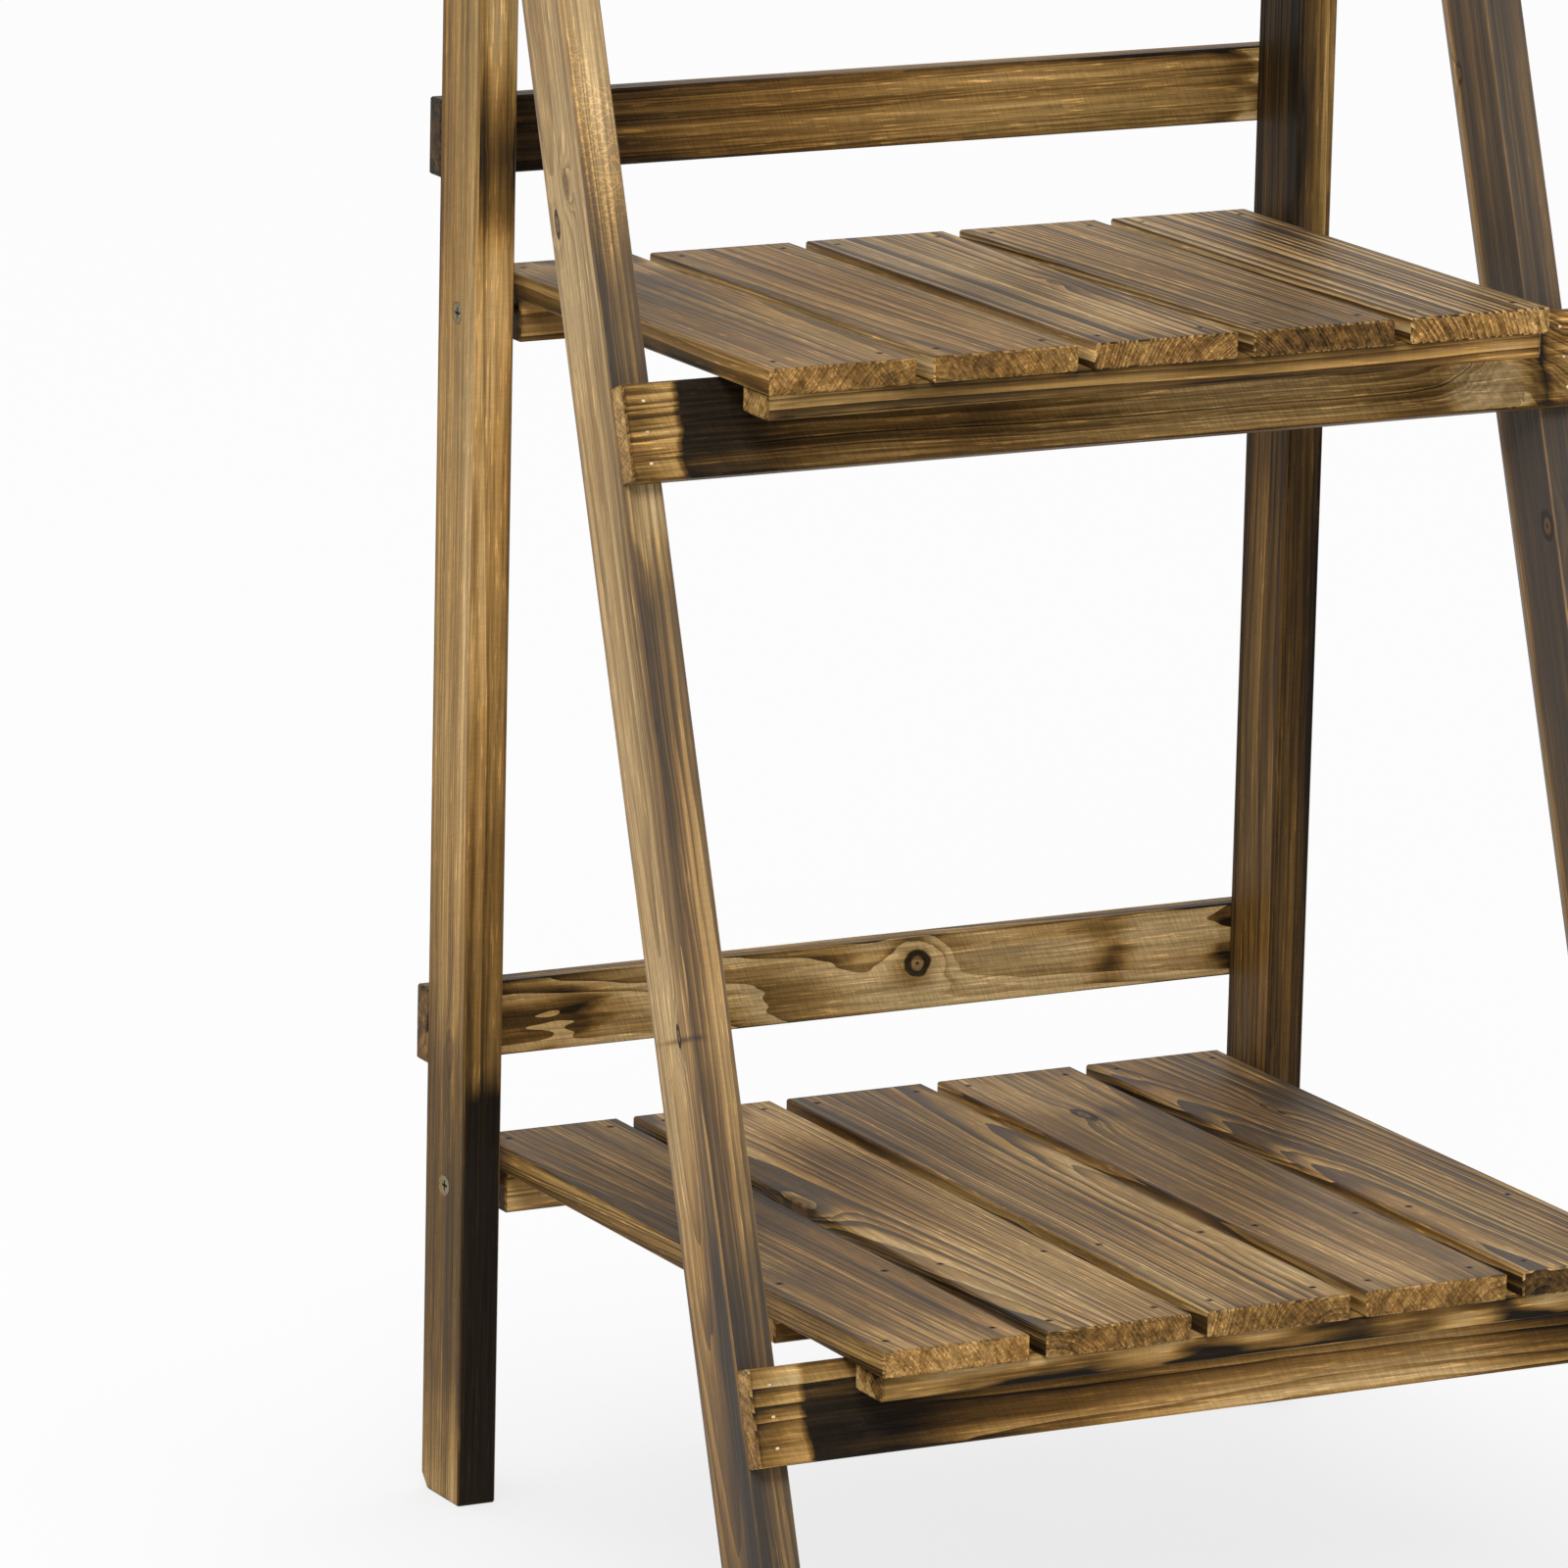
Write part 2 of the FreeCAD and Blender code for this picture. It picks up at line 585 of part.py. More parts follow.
def pivot_screw(tier, name, side):
    """A countersunk screw through the post into the rear batten's end, with a cross recess."""
    body = new_body(f"{tier}_pivot_screw_{name}", tier)

    def at(depth):
        return f"{side} * ( post_outer - screw_head_sink - {depth} )"

    profile = new_sketch(body, "XZ_Plane", "0")
    outline(profile, (
        (at("0"), "0"), (at("0"), "screw_head_diameter / 2"),
        (at("screw_head_depth"), "screw_diameter / 2"),
        (at("screw_length"), "screw_diameter / 2"),
        (at("screw_length"), "0")))
    revolve(body, profile)
    recess = new_sketch(body, "YZ_Plane", at("0"))
    tip, arm = "recess_span / 2", "recess_width / 2"
    outline(recess, (
        (tip, f"- {arm}"), (tip, arm), (arm, arm), (arm, tip), (f"- {arm}", tip), (f"- {arm}", arm),
        (f"- {tip}", arm), (f"- {tip}", f"- {arm}"), (f"- {arm}", f"- {arm}"), (f"- {arm}", f"- {tip}"),
        (arm, f"- {tip}"), (arm, f"- {arm}")))
    pocket(body, recess, "recess_depth", reverse=side < 0)
    return body


def build():
    """Every node of the stand, in the order it would be put together."""
    nodes = [rear_post(name, side) for name, side in SIDES]
    nodes += [rear_rail(tier) for tier in TIERS]
    nodes.append(rear_nails())
    nodes.append(group("pivot_bolts", [pivot_bolt(name, side) for name, side in SIDES]))
    nodes.append(group("spacer_washers", [
        washer(f"spacer_{name}", side, "post_outer", "spacer_thickness") for name, side in SIDES]))
    nodes.append(group("nut_washers", [
        washer(f"nut_washer_{name}", side, "post_inner - nut_washer_thickness", "nut_washer_thickness")
        for name, side in SIDES]))
    nodes.append(group("pivot_nuts", [nut(name, side) for name, side in SIDES]))
    nodes += [front_leg(name, side) for name, side in SIDES]
    nodes += [front_rail(tier) for tier in TIERS]
    nodes.append(front_nails())
    for tier in TIERS:
        nodes += [slat(tier, number) for number in range(slat_total)]
        nodes += [rear_batten(tier), front_batten(tier)]
        nodes.append(shelf_nails(tier))
        screws = [pivot_screw(tier, name, side) for name, side in SIDES]
        nodes.append(group(f"{tier}_pivot_screws", screws))
    nodes.append(middle_batten())
    return nodes


def check(nodes):
    """Stop before anything is written if an object failed or a shape is unsound."""
    doc.recompute()
    failed = [obj.Label for obj in doc.Objects if "Invalid" in obj.State or "Error" in obj.State]
    if failed:
        raise RuntimeError(f"failed objects: {failed}")
    for node in nodes:
        if node.Shape.isNull() or not node.Shape.isValid() or not node.Shape.Solids:
            raise RuntimeError(f"unsound shape: {node.Label}")


fill_sheet()
slat_total = int(amount("slat_count"))
pieces = build()
check(pieces)
os.makedirs("parts", exist_ok=True)
for piece in pieces:
    piece.Shape.exportStep(f"parts/{piece.Label}.step")
print(f"{len(pieces)} nodes, {sum(len(piece.Shape.Solids) for piece in pieces)} solids")
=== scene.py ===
"""Torched and brushed fir, plated fasteners and a plain studio for a folding plant stand."""
import math

import bpy
from bpy.props import FloatProperty, FloatVectorProperty, PointerProperty
from bpy.types import Operator, Panel, PropertyGroup
from mathutils import Matrix, Vector


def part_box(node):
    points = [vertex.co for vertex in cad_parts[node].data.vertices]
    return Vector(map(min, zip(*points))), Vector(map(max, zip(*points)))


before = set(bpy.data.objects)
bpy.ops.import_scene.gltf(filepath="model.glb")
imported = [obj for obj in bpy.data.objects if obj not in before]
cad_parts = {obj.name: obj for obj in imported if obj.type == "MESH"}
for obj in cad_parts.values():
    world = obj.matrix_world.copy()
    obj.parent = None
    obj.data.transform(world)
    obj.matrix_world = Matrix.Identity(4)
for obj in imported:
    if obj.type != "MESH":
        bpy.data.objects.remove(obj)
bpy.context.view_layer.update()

bl_info = {
    "name": "Charred Fir Plant Stand",
    "version": (1, 0, 0),
    "blender": (4, 5, 0),
    "location": "View3D > Sidebar > Plant Stand",
    "description": "Gives a folding plant stand its torched fir boards, fasteners and studio",
    "category": "Object",
}

TIERS = ("low", "mid", "top")
FRONT_LEAN = math.radians(18.1)
REAR_LEAN = math.radians(0.8)

# Directions of a board's grain, of its width and of its best face, in the stand's frame
UP_REAR = Vector((0, -math.sin(REAR_LEAN), math.cos(REAR_LEAN)))
UP_FRONT = Vector((0, math.sin(FRONT_LEAN), math.cos(FRONT_LEAN)))
RIGHT = Vector((1, 0, 0))
BACKWARD = Vector((0, 1, 0))
GRAIN_AXES = {
    "post": (UP_REAR, Vector((0, UP_REAR.z, -UP_REAR.y))),
    "leg": (UP_FRONT, Vector((0, UP_FRONT.z, -UP_FRONT.y))),
    "rear_rail": (RIGHT, UP_REAR),
    "front_rail": (RIGHT, UP_FRONT),
    "slat": (-BACKWARD, RIGHT),
    "batten": (RIGHT, BACKWARD),
}

# How often each noise repeats in a metre: along the grain, across it and into the board
KNOT_WOBBLE = (90, 130, 130)
RING_DRIFT = (2.3, 12, 12)
RING_RIPPLE = (11, 60, 60)
FIBRES = (14, 620, 620)
PATCH_EDGE = (16, 120, 120)
BOARD_EDGE = (60, 90, 90)
FLAMES = (6.5, 34, 34)
STREAKS = (2.5, 210, 210)
TINTS = (3.5, 22, 22)
SAW_TEETH = (850, 130, 130)
CRACKLE_CELLS = (330, 170, 170)
# Pale flecks painted on the grain as glints of light
PAINTED_GLINTS = (60, 1000, 1000)
END_SAW_LINES = (40, 900, 90)
BURN_WOBBLE = (9, 70, 70)
METAL_SPOTS = (420, 420, 420)
METAL_SCRATCHES = (2600, 500, 500)

# A knot shows nowhere deeper than the first of these, and fully down to the second, in metres
KNOT_DEPTH = (0.016, 0.006)
# Rings bend by this many of a knot's radii at its middle, and the bend dies away at this rate
KNOT_PUSH = 1.7
KNOT_FALLOFF = 0.16
# Places in radii from a knot's middle where its heart, the two sides of its rim and its pith fade in
HEART_FADE = (1.0, 0.55)
RIM_OUTSIDE = (1.35, 1.1)
RIM_INSIDE = (0.7, 0.5)
PITH_FADE = (0.3, 0.12)

# Rings: shares of slow and quick crookedness, and how far the pith slews for each part of tilt
DRIFT_SHARE = 3.0
RIPPLE_SHARE = 0.5
PITH_SLEW = 0.15
# Rings differ in width by up to so many years, and wide and narrow ones follow each other this fast
UNEVEN_YEARS = 3.0
UNEVEN_PACE = 0.35
# Dark and pale bands of rings: how fast they follow each other, and their share beside single rings
BAND_PACE = 0.3
BAND_SHARE = 0.55
# How the wood darkens from spring to autumn within a ring
SEASON_LINE = ((0.0, 0.0), (0.4, 0.06), (0.66, 0.7), (0.78, 1.0), (1.0, 1.0))

# Flames and streaks stand between these levels of their noise; black wood shows less of both
FLAME_EDGE = (0.39, 0.61)
STREAK_EDGE = (0.32, 0.68)
BLACK_FROM = (0.75, 0.98)
BLACK_CALM = 0.8
# How ragged a scorch patch is, and how far in from a board's edge the burn may reach, in metres
PATCH_RAGGED = 1.4
EDGE_REACH = (0.005, 0.0002)

# Burn at which the wood is raw, golden, brown and black
RAW, GOLDEN, BROWN, BLACK = 0.0, 0.32, 0.6, 0.95
# Tints over the burn: slow changes of warmth, and fibres from dark to pale
WARMTH = ((0.3, (0.95, 0.99, 0.95)), (0.7, (1.05, 0.99, 0.86)))
FIBRE_SHADE = ((0.3, 0.58), (0.5, 0.98), (0.72, 1.45))
CRACK_TINT = (1.6, 1.5, 1.4, 1)
# Pale flecks painted on the grain as glints of light are this much brighter
PAINTED_GLINT_TINT = (2.3, 2.2, 2.1, 1)
END_TINT = (1.08, 1.05, 1.06, 1)
# Saw marks lean across the face, and the lines on a sawn end lean across its thickness
FACE_SAW_LEAN = (0.45, 0, 0)
END_SAW_LEAN = (0, 0.8, 0)
# Contrast of the saw marks on faces and ends, and relief of lines and fibres
FACE_SAW_TONE = 3.0
END_SAW_TONE = 1.8
LINE_RELIEF = 0.7
FIBRE_RELIEF = 0.5

# Slats: painted shade and burn darken the lower part of the sides, in the gaps; the wood round the nails
# took more burn
GAP_SHADE_HEIGHTS = (0.001, -0.005)
GAP_SHADE_AND_BURN = 0.3
NAIL_BURN = 0.5
# How far along the grain a crackled place reaches, in shares of the board
CRACKLE_REACH = (0.045, 0.02)
WOOD_SPECULAR = 0.06
WOOD_BUMP = 0.7

# Colours of small marks on the boards, and of a painted sheen
KNOT_HEART = (0.15, 0.07, 0.025, 1)
KNOT_RIM = (0.012, 0.008, 0.005, 1)
# Grey painted sheen, mixed into the wood's colour in place of the seal's reflection
PAINTED_SHEEN_GREY = (0.29, 0.25, 0.215, 1)

# A face counts as turned towards a direction from the first of these cosines, fully from the second
FACING = (0.7, 0.76)
PATCH_DEPTH = 0.006
SEEDS = 97

# Sawn ends: how much closer the rings stand there, and how much of their burn and lines is missing
END_RINGS = 0.6
END_CALM = 0.68
END_FAINT = 0.75

# How far below the wood a nail may end, the most that its end is wide, and the stain round it
NAIL_SINK = 0.001
NAIL_WIDTH = 0.005
NAIL_STAIN = (0.0026, 0.0012)

# Studio: where the key light stands, what it aims at, its width, and the floor
KEY_PLACE = (-1.6, -2.6, 3.0)
KEY_AIM = (0, 0, 0.5)
KEY_WIDTH = 1.6
FLOOR_WIDTH = 60
FLOOR_WHITE = 0.95
SHADOW_REACH = 0.4
SHADOW_TONES = ((0.45, 0.84), (0.96, 1.0))


class FirSettings(PropertyGroup):
    """Colours and grain of the boards."""
    raw_soft: FloatVectorProperty(
        name="Raw Soft Wood", description="Pale wood between the grain lines, untouched by the flame",
        default=(0.58, 0.4, 0.2), size=3, subtype="COLOR", min=0, max=1)
    raw_line: FloatVectorProperty(
        name="Raw Grain Line", description="Hard grain lines in untouched wood",
        default=(0.22, 0.115, 0.036), size=3, subtype="COLOR", min=0, max=1)
    golden_soft: FloatVectorProperty(
        name="Golden Soft Wood", description="Lightly toasted wood between the grain lines",
        default=(0.42, 0.252, 0.09), size=3, subtype="COLOR", min=0, max=1)
    golden_line: FloatVectorProperty(
        name="Golden Grain Line", description="Grain lines in lightly toasted wood",
        default=(0.11, 0.054, 0.017), size=3, subtype="COLOR", min=0, max=1)
    brown_soft: FloatVectorProperty(
        name="Brown Soft Wood", description="Well toasted wood between the grain lines",
        default=(0.19, 0.102, 0.03), size=3, subtype="COLOR", min=0, max=1)
    brown_line: FloatVectorProperty(
        name="Brown Grain Line", description="Grain lines in well toasted wood",
        default=(0.036, 0.019, 0.008), size=3, subtype="COLOR", min=0, max=1)
    char_soft: FloatVectorProperty(
        name="Charred Soft Wood", description="Black wood where the flame stayed",
        default=(0.0125, 0.009, 0.0065), size=3, subtype="COLOR", min=0, max=1)
    char_line: FloatVectorProperty(
        name="Charred Grain Line", description="Hard lines that the brush laid bare again in black wood",
        default=(0.032, 0.019, 0.009), size=3, subtype="COLOR", min=0, max=1)
    relief: FloatProperty(
        name="Brushed Relief", description="How far the hard lines stand out after brushing",
        default=0.0008, min=0, max=0.003, unit="LENGTH", subtype="DISTANCE", precision=4)
    sheen: FloatProperty(
        name="Seal Roughness", description="Roughness of the clear seal over the wood",
        default=0.48, min=0, max=1, subtype="FACTOR")


class HardwareSettings(PropertyGroup):
    """Colours of the fasteners."""
    zinc: FloatVectorProperty(
        name="Zinc", description="Bolts, nuts and washers", default=(0.62, 0.62, 0.6),
        size=3, subtype="COLOR", min=0, max=1)
    screw: FloatVectorProperty(
        name="Screw Plating", description="Yellowish plating of the pivot screws",
        default=(0.27, 0.22, 0.13), size=3, subtype="COLOR", min=0, max=1)
    nail: FloatVectorProperty(
        name="Nail", description="Ends of the brad nails in the rails", default=(0.9, 0.74, 0.48),
        size=3, subtype="COLOR", min=0, max=1)
    slat_nail: FloatVectorProperty(
        name="Slat Nail", description="Ends of the brad nails in the slats, darkened by the flame",
        default=(0.06, 0.045, 0.03), size=3, subtype="COLOR", min=0, max=1)


class StudioSettings(PropertyGroup):
    """Camera and light."""
    eye: FloatVectorProperty(
        name="Eye", description="Where the camera stands", default=(-2.32757, -4.22309, 1.46316),
        size=3, subtype="XYZ", unit="LENGTH")
    azimuth: FloatProperty(
        name="Azimuth", description="Camera's turn about the stand", default=math.radians(-27.3533),
        subtype="ANGLE", unit="ROTATION")
    elevation: FloatProperty(
        name="Elevation", description="Camera's height above the horizon",
        default=math.radians(12.8872), subtype="ANGLE", unit="ROTATION")
    roll: FloatProperty(
        name="Roll", description="Camera's tilt to the side", default=math.radians(0.90433),
        subtype="ANGLE", unit="ROTATION")
    lens: FloatProperty(
        name="Lens", description="Focal length in millimetres on a 36 mm frame",
        default=247.755, min=1, subtype="NONE")
    ambient: FloatProperty(
        name="Ambient", description="Strength of the even light from all round", default=0.5, min=0)
    key_power: FloatProperty(
        name="Key Power", description="Soft light from the upper left", default=105, min=0, unit="POWER")


class Graph:
    """A node tree with short calls to add nodes and join them."""

    def __init__(self, tree):
        self.tree = tree

    def add(self, kind, **settings):
        """A new node with these settings."""
        node = self.tree.nodes.new(kind)
        for name, value in settings.items():
            setattr(node, name, value)
        return node

    def put(self, socket, value):
        """Feed a socket from another socket, or set it to a plain value."""
        if isinstance(value, bpy.types.NodeSocket):
            self.tree.links.new(value, socket)
        else:
            socket.default_value = value

    def math(self, operation, *values):
        """One step of arithmetic on values or sockets."""
        node = self.add("ShaderNodeMath", operation=operation)
        for socket, value in zip(node.inputs, values):
            self.put(socket, value)
        return node.outputs[0]

    def plus(self, first, second):
        """The sum of two values."""
        return self.math("ADD", first, second)

    def minus(self, first, second):
        """The difference of two values."""
        return self.math("SUBTRACT", first, second)

    def mul(self, first, second):
        """The product of two values."""
        return self.math("MULTIPLY", first, second)

    def vector(self, operation, *values):
        """One step of vector arithmetic."""
        node = self.add("ShaderNodeVectorMath", operation=operation)
        for socket, value in zip(node.inputs, values):
            self.put(socket, value)
        scalar = operation in ("DOT_PRODUCT", "LENGTH", "DISTANCE")
        return node.outputs["Value" if scalar else "Vector"]

    def scaled(self, vector, factors, seed):
        """A vector stretched along its axes and moved to its own place in the noise."""
        stretched = self.vector("MULTIPLY", vector, factors)
        shift = self.vector("MULTIPLY", (7.31, 3.17, 5.71), self.spread(seed))
        return self.vector("ADD", stretched, shift)

    def spread(self, value):
        """A vector with the same value in all three places."""
        node = self.add("ShaderNodeCombineXYZ")
        for socket in node.inputs:
            self.put(socket, value)
        return node.outputs[0]

    def split(self, vector):
        """The three values of a vector."""
        node = self.add("ShaderNodeSeparateXYZ")
        self.put(node.inputs[0], vector)
        return node.outputs

    def noise(self, vector, detail=2.0, roughness=0.5):
        """Soft noise in a stretched space: its Fac and Color."""
        node = self.add("ShaderNodeTexNoise")
        node.inputs["Scale"].default_value = 1.0
        node.inputs["Detail"].default_value = detail
        node.inputs["Roughness"].default_value = roughness
        self.put(node.inputs["Vector"], vector)
        return node.outputs

    def mix(self, factor, first, second, kind="RGBA", blend="MIX"):
        """A blend of two colours or two numbers; each kind has its own sockets on the node."""
        node = self.add("ShaderNodeMix", data_type=kind, blend_type=blend)
        first_in, second_in, out = {"RGBA": (6, 7, 2), "FLOAT": (2, 3, 0)}[kind]
        self.put(node.inputs[0], factor)
        self.put(node.inputs[first_in], first)
        self.put(node.inputs[second_in], second)
        return node.outputs[out]

    def times(self, colour, factors):
        """A colour multiplied by another, or by a plain triple."""
        return self.mix(1.0, colour, factors, blend="MULTIPLY")

    def centred(self, value, share):
        """A value about one half, turned to one about nought and scaled."""
        return self.mul(self.minus(value, 0.5), share)

    def square(self, value):
        """A value times itself."""
        return self.mul(value, value)

    def between(self, value, low, high, smooth=True):
        """0 below low, 1 above high."""
        node = self.add("ShaderNodeMapRange", interpolation_type="SMOOTHSTEP" if smooth else "LINEAR")
        self.put(node.inputs["Value"], value)
        self.put(node.inputs["From Min"], low)
        self.put(node.inputs["From Max"], high)
        return node.outputs["Result"]

    def ramp(self, value, stops, interpolation="EASE"):
        """Value or colour by place: stops are pairs of place and number, or place and colour."""
        node = self.add("ShaderNodeValToRGB")
        node.color_ramp.interpolation = interpolation
        elements = node.color_ramp.elements
        while len(elements) < len(stops):
            elements.new(0.5)
        for element, (place, what) in zip(elements, stops):
            element.position = place
            colour = (what, what, what) if isinstance(what, (int, float)) else what
            element.color = (*colour, 1)
        self.put(node.inputs[0], value)
        return node.outputs["Color"]


def new_group(name, inputs, outputs):
    """A shader node group with named sockets, and its graph."""
    tree = bpy.data.node_groups.new(name, "ShaderNodeTree")
    for label, kind, default in inputs:
        socket = tree.interface.new_socket(label, in_out="INPUT", socket_type=kind)
        if default is not None:
            socket.default_value = default
    for label, kind in outputs:
        tree.interface.new_socket(label, in_out="OUTPUT", socket_type=kind)
    graph = Graph(tree)
    return graph, graph.add("NodeGroupInput").outputs, graph.add("NodeGroupOutput").inputs


FLOAT, COLOUR, VECTOR = "NodeSocketFloat", "NodeSocketColor", "NodeSocketVector"


def knot_group():
    """A knot: the rings bend round it, its heart is dark, and a darker rim runs round the heart."""
    graph, given, result = new_group(
        "Fir Knot",
        (("Board", VECTOR, None), ("Centre", VECTOR, None), ("Radius", FLOAT, 0.006),
         ("Stretch", FLOAT, 2.2), ("Rim Strength", FLOAT, 0.3)),
        (("Push", FLOAT), ("Heart", FLOAT), ("Rim", FLOAT)))
    offset = graph.split(graph.vector("SUBTRACT", given["Board"], given["Centre"]))
    along = graph.math("DIVIDE", offset[0], given["Stretch"])
    flat = graph.math("SQRT", graph.plus(graph.square(along), graph.square(offset[1])))
    depth = graph.math("ABSOLUTE", offset[2])
    reach = graph.math("DIVIDE", flat, given["Radius"])
    wobble = graph.noise(graph.scaled(given["Board"], KNOT_WOBBLE, 3.0))["Fac"]
    reach = graph.plus(reach, graph.centred(wobble, 0.7))
    near = graph.between(depth, *KNOT_DEPTH)
    push = graph.math("EXPONENT", graph.mul(graph.square(reach), -KNOT_FALLOFF))
    push = graph.mul(push, near)
    graph.put(result["Push"], graph.mul(push, graph.mul(given["Radius"], KNOT_PUSH)))
    shown = graph.mul(near, graph.between(given["Rim Strength"], 0.0, 0.3))
    graph.put(result["Heart"], graph.mul(graph.between(reach, *HEART_FADE), shown))
    rim = graph.minus(graph.between(reach, *RIM_OUTSIDE), graph.between(reach, *RIM_INSIDE))
    rim = graph.plus(rim, graph.between(reach, *PITH_FADE))
    rim = graph.mul(rim, near)
    graph.put(result["Rim"], graph.mul(rim, given["Rim Strength"]))
    return graph.tree


def grain_group():
    """Year rings about a pith line beside the board, so faces, sides and ends all agree."""
    graph, given, result = new_group(
        "Fir Grain",
        (("Board", VECTOR, None), ("Seed", FLOAT, 0.0), ("Pith Across", FLOAT, 0.02),
         ("Pith Depth", FLOAT, -0.06), ("Tilt", FLOAT, 0.0), ("Ring Width", FLOAT, 0.0027),
         ("Wander", FLOAT, 0.007), ("Push", FLOAT, 0.0)),
        (("Line", FLOAT), ("Season", FLOAT), ("Ring Tone", FLOAT), ("Fibre", FLOAT)))
    place = graph.split(given["Board"])
    slow = graph.noise(graph.scaled(given["Board"], RING_DRIFT, given["Seed"]), 1.0)["Color"]
    quick = graph.noise(graph.scaled(given["Board"], RING_RIPPLE, given["Seed"]), 2.0)["Color"]
    slow = graph.split(graph.vector("SUBTRACT", slow, (0.5, 0.5, 0.5)))
    quick = graph.split(graph.vector("SUBTRACT", quick, (0.5, 0.5, 0.5)))

    def bent(axis, pith):
        """Distance from the pith along one axis, with the trunk's own crookedness."""
        drift = graph.mul(slow[axis], graph.mul(given["Wander"], DRIFT_SHARE))
        ripple = graph.mul(quick[axis], graph.mul(given["Wander"], RIPPLE_SHARE))
        return graph.plus(graph.minus(place[axis], pith), graph.plus(drift, ripple))

    lean = graph.plus(given["Pith Across"], graph.mul(place[0], graph.mul(given["Tilt"], PITH_SLEW)))
    across = bent(1, lean)
    sink = graph.plus(given["Pith Depth"], graph.mul(place[0], given["Tilt"]))
    depth = bent(2, sink)
    radius = graph.math("SQRT", graph.plus(graph.square(across), graph.square(depth)))
    radius = graph.plus(radius, given["Push"])
    years = graph.math("DIVIDE", radius, given["Ring Width"])
    uneven = graph.add("ShaderNodeTexNoise", noise_dimensions="1D")
    uneven.inputs["Scale"].default_value = UNEVEN_PACE
    graph.put(uneven.inputs["W"], graph.plus(years, given["Seed"]))
    years = graph.plus(years, graph.mul(uneven.outputs["Fac"], UNEVEN_YEARS))
    season = graph.math("FRACT", years)
    tone = graph.add("ShaderNodeTexWhiteNoise", noise_dimensions="1D")
    graph.put(tone.inputs["W"], graph.plus(graph.math("FLOOR", years), given["Seed"]))
    line = graph.ramp(season, SEASON_LINE, "LINEAR")
    fibre = graph.noise(graph.scaled(given["Board"], FIBRES, given["Seed"]), 3.0, 0.65)["Fac"]
    band = graph.add("ShaderNodeTexNoise", noise_dimensions="1D")
    band.inputs["Scale"].default_value = BAND_PACE
    graph.put(band.inputs["W"], graph.math("MULTIPLY_ADD", given["Seed"], 3.1, years))
    bands = graph.between(band.outputs["Fac"], 0.3, 0.7)
    ring_tone = graph.mix(BAND_SHARE, tone.outputs["Value"], bands, "FLOAT")
    weight = graph.math("MULTIPLY_ADD", ring_tone, 0.75, 0.3)
    graph.put(result["Line"], graph.mul(line, weight))
    graph.put(result["Season"], season)
    graph.put(result["Ring Tone"], ring_tone)
    graph.put(result["Fibre"], fibre)
    return graph.tree


def scorch_group():
    """A soft, ragged patch of more or less burn about a point."""
    graph, given, result = new_group(
        "Scorch Patch",
        (("Board", VECTOR, None), ("Centre", VECTOR, None), ("Reach", VECTOR, None), ("Amount", FLOAT, 0.0),
         ("Seed", FLOAT, 0.0)), (("Burn", FLOAT),))
    offset = graph.vector("SUBTRACT", given["Board"], given["Centre"])
    offset = graph.vector("DIVIDE", offset, given["Reach"])
    ragged = graph.noise(graph.scaled(given["Board"], PATCH_EDGE, given["Seed"]), 3.0, 0.6)["Fac"]
    far = graph.plus(graph.vector("LENGTH", offset), graph.centred(ragged, PATCH_RAGGED))
    near = graph.math("EXPONENT", graph.mul(graph.square(far), -1.0))
    graph.put(result["Burn"], graph.mul(near, given["Amount"]))
    return graph.tree


def edge_group():
    """1 along a board's edges, fading out unevenly over a couple of millimetres."""
    graph, given, result = new_group(
        "Board Edge", (("Board", VECTOR, None), ("Half Size", VECTOR, None), ("Seed", FLOAT, 0.0)),
        (("Edge", FLOAT),))
    inset = graph.vector("SUBTRACT", given["Half Size"], graph.vector("ABSOLUTE", given["Board"]))
    inset = graph.split(inset)
    low = graph.math("MINIMUM", inset[0], inset[1])
    high = graph.math("MAXIMUM", inset[0], inset[1])
    second = graph.math("MAXIMUM", low, graph.math("MINIMUM", high, inset[2]))
    ragged = graph.noise(graph.scaled(given["Board"], BOARD_EDGE, given["Seed"]), 2.0)["Fac"]
    graph.put(result["Edge"], graph.between(second, graph.mul(ragged, EDGE_REACH[0]), EDGE_REACH[1]))
    return graph.tree


def torch_group():
    """Breaks up the burn along a board into flames, streaks and single darker rings."""
    graph, given, result = new_group(
        "Torch Marks",
        (("Board", VECTOR, None), ("Burn", FLOAT, 0.4), ("Seed", FLOAT, 0.0), ("Flame", FLOAT, 0.25),
         ("Streak", FLOAT, 0.18), ("Ring Tone", FLOAT, 0.5), ("Ring Burn", FLOAT, 0.15),
         ("Season", FLOAT, 0.5), ("Season Burn", FLOAT, 0.1)),
        (("Burn", FLOAT),))
    flame = graph.noise(graph.scaled(given["Board"], FLAMES, given["Seed"]), 3.0, 0.55)["Fac"]
    streak = graph.noise(graph.scaled(given["Board"], STREAKS, given["Seed"]), 3.0, 0.6)["Fac"]
    flame = graph.between(flame, *FLAME_EDGE)
    streak = graph.between(streak, *STREAK_EDGE)
    calm = graph.math("MULTIPLY_ADD", graph.between(given["Burn"], *BLACK_FROM), -BLACK_CALM, 1.0)
    total = given["Burn"]
    for part, share in ((flame, given["Flame"]), (streak, given["Streak"]),
                        (given["Ring Tone"], given["Ring Burn"]), (given["Season"], given["Season Burn"])):
        swing = graph.mul(graph.math("MULTIPLY_ADD", part, 2.0, -1.0), share)
        swing = graph.mul(swing, calm)
        total = graph.plus(total, swing)
    graph.put(result["Burn"], graph.math("MAXIMUM", graph.math("MINIMUM", total, 1.0), 0.0))
    return graph.tree


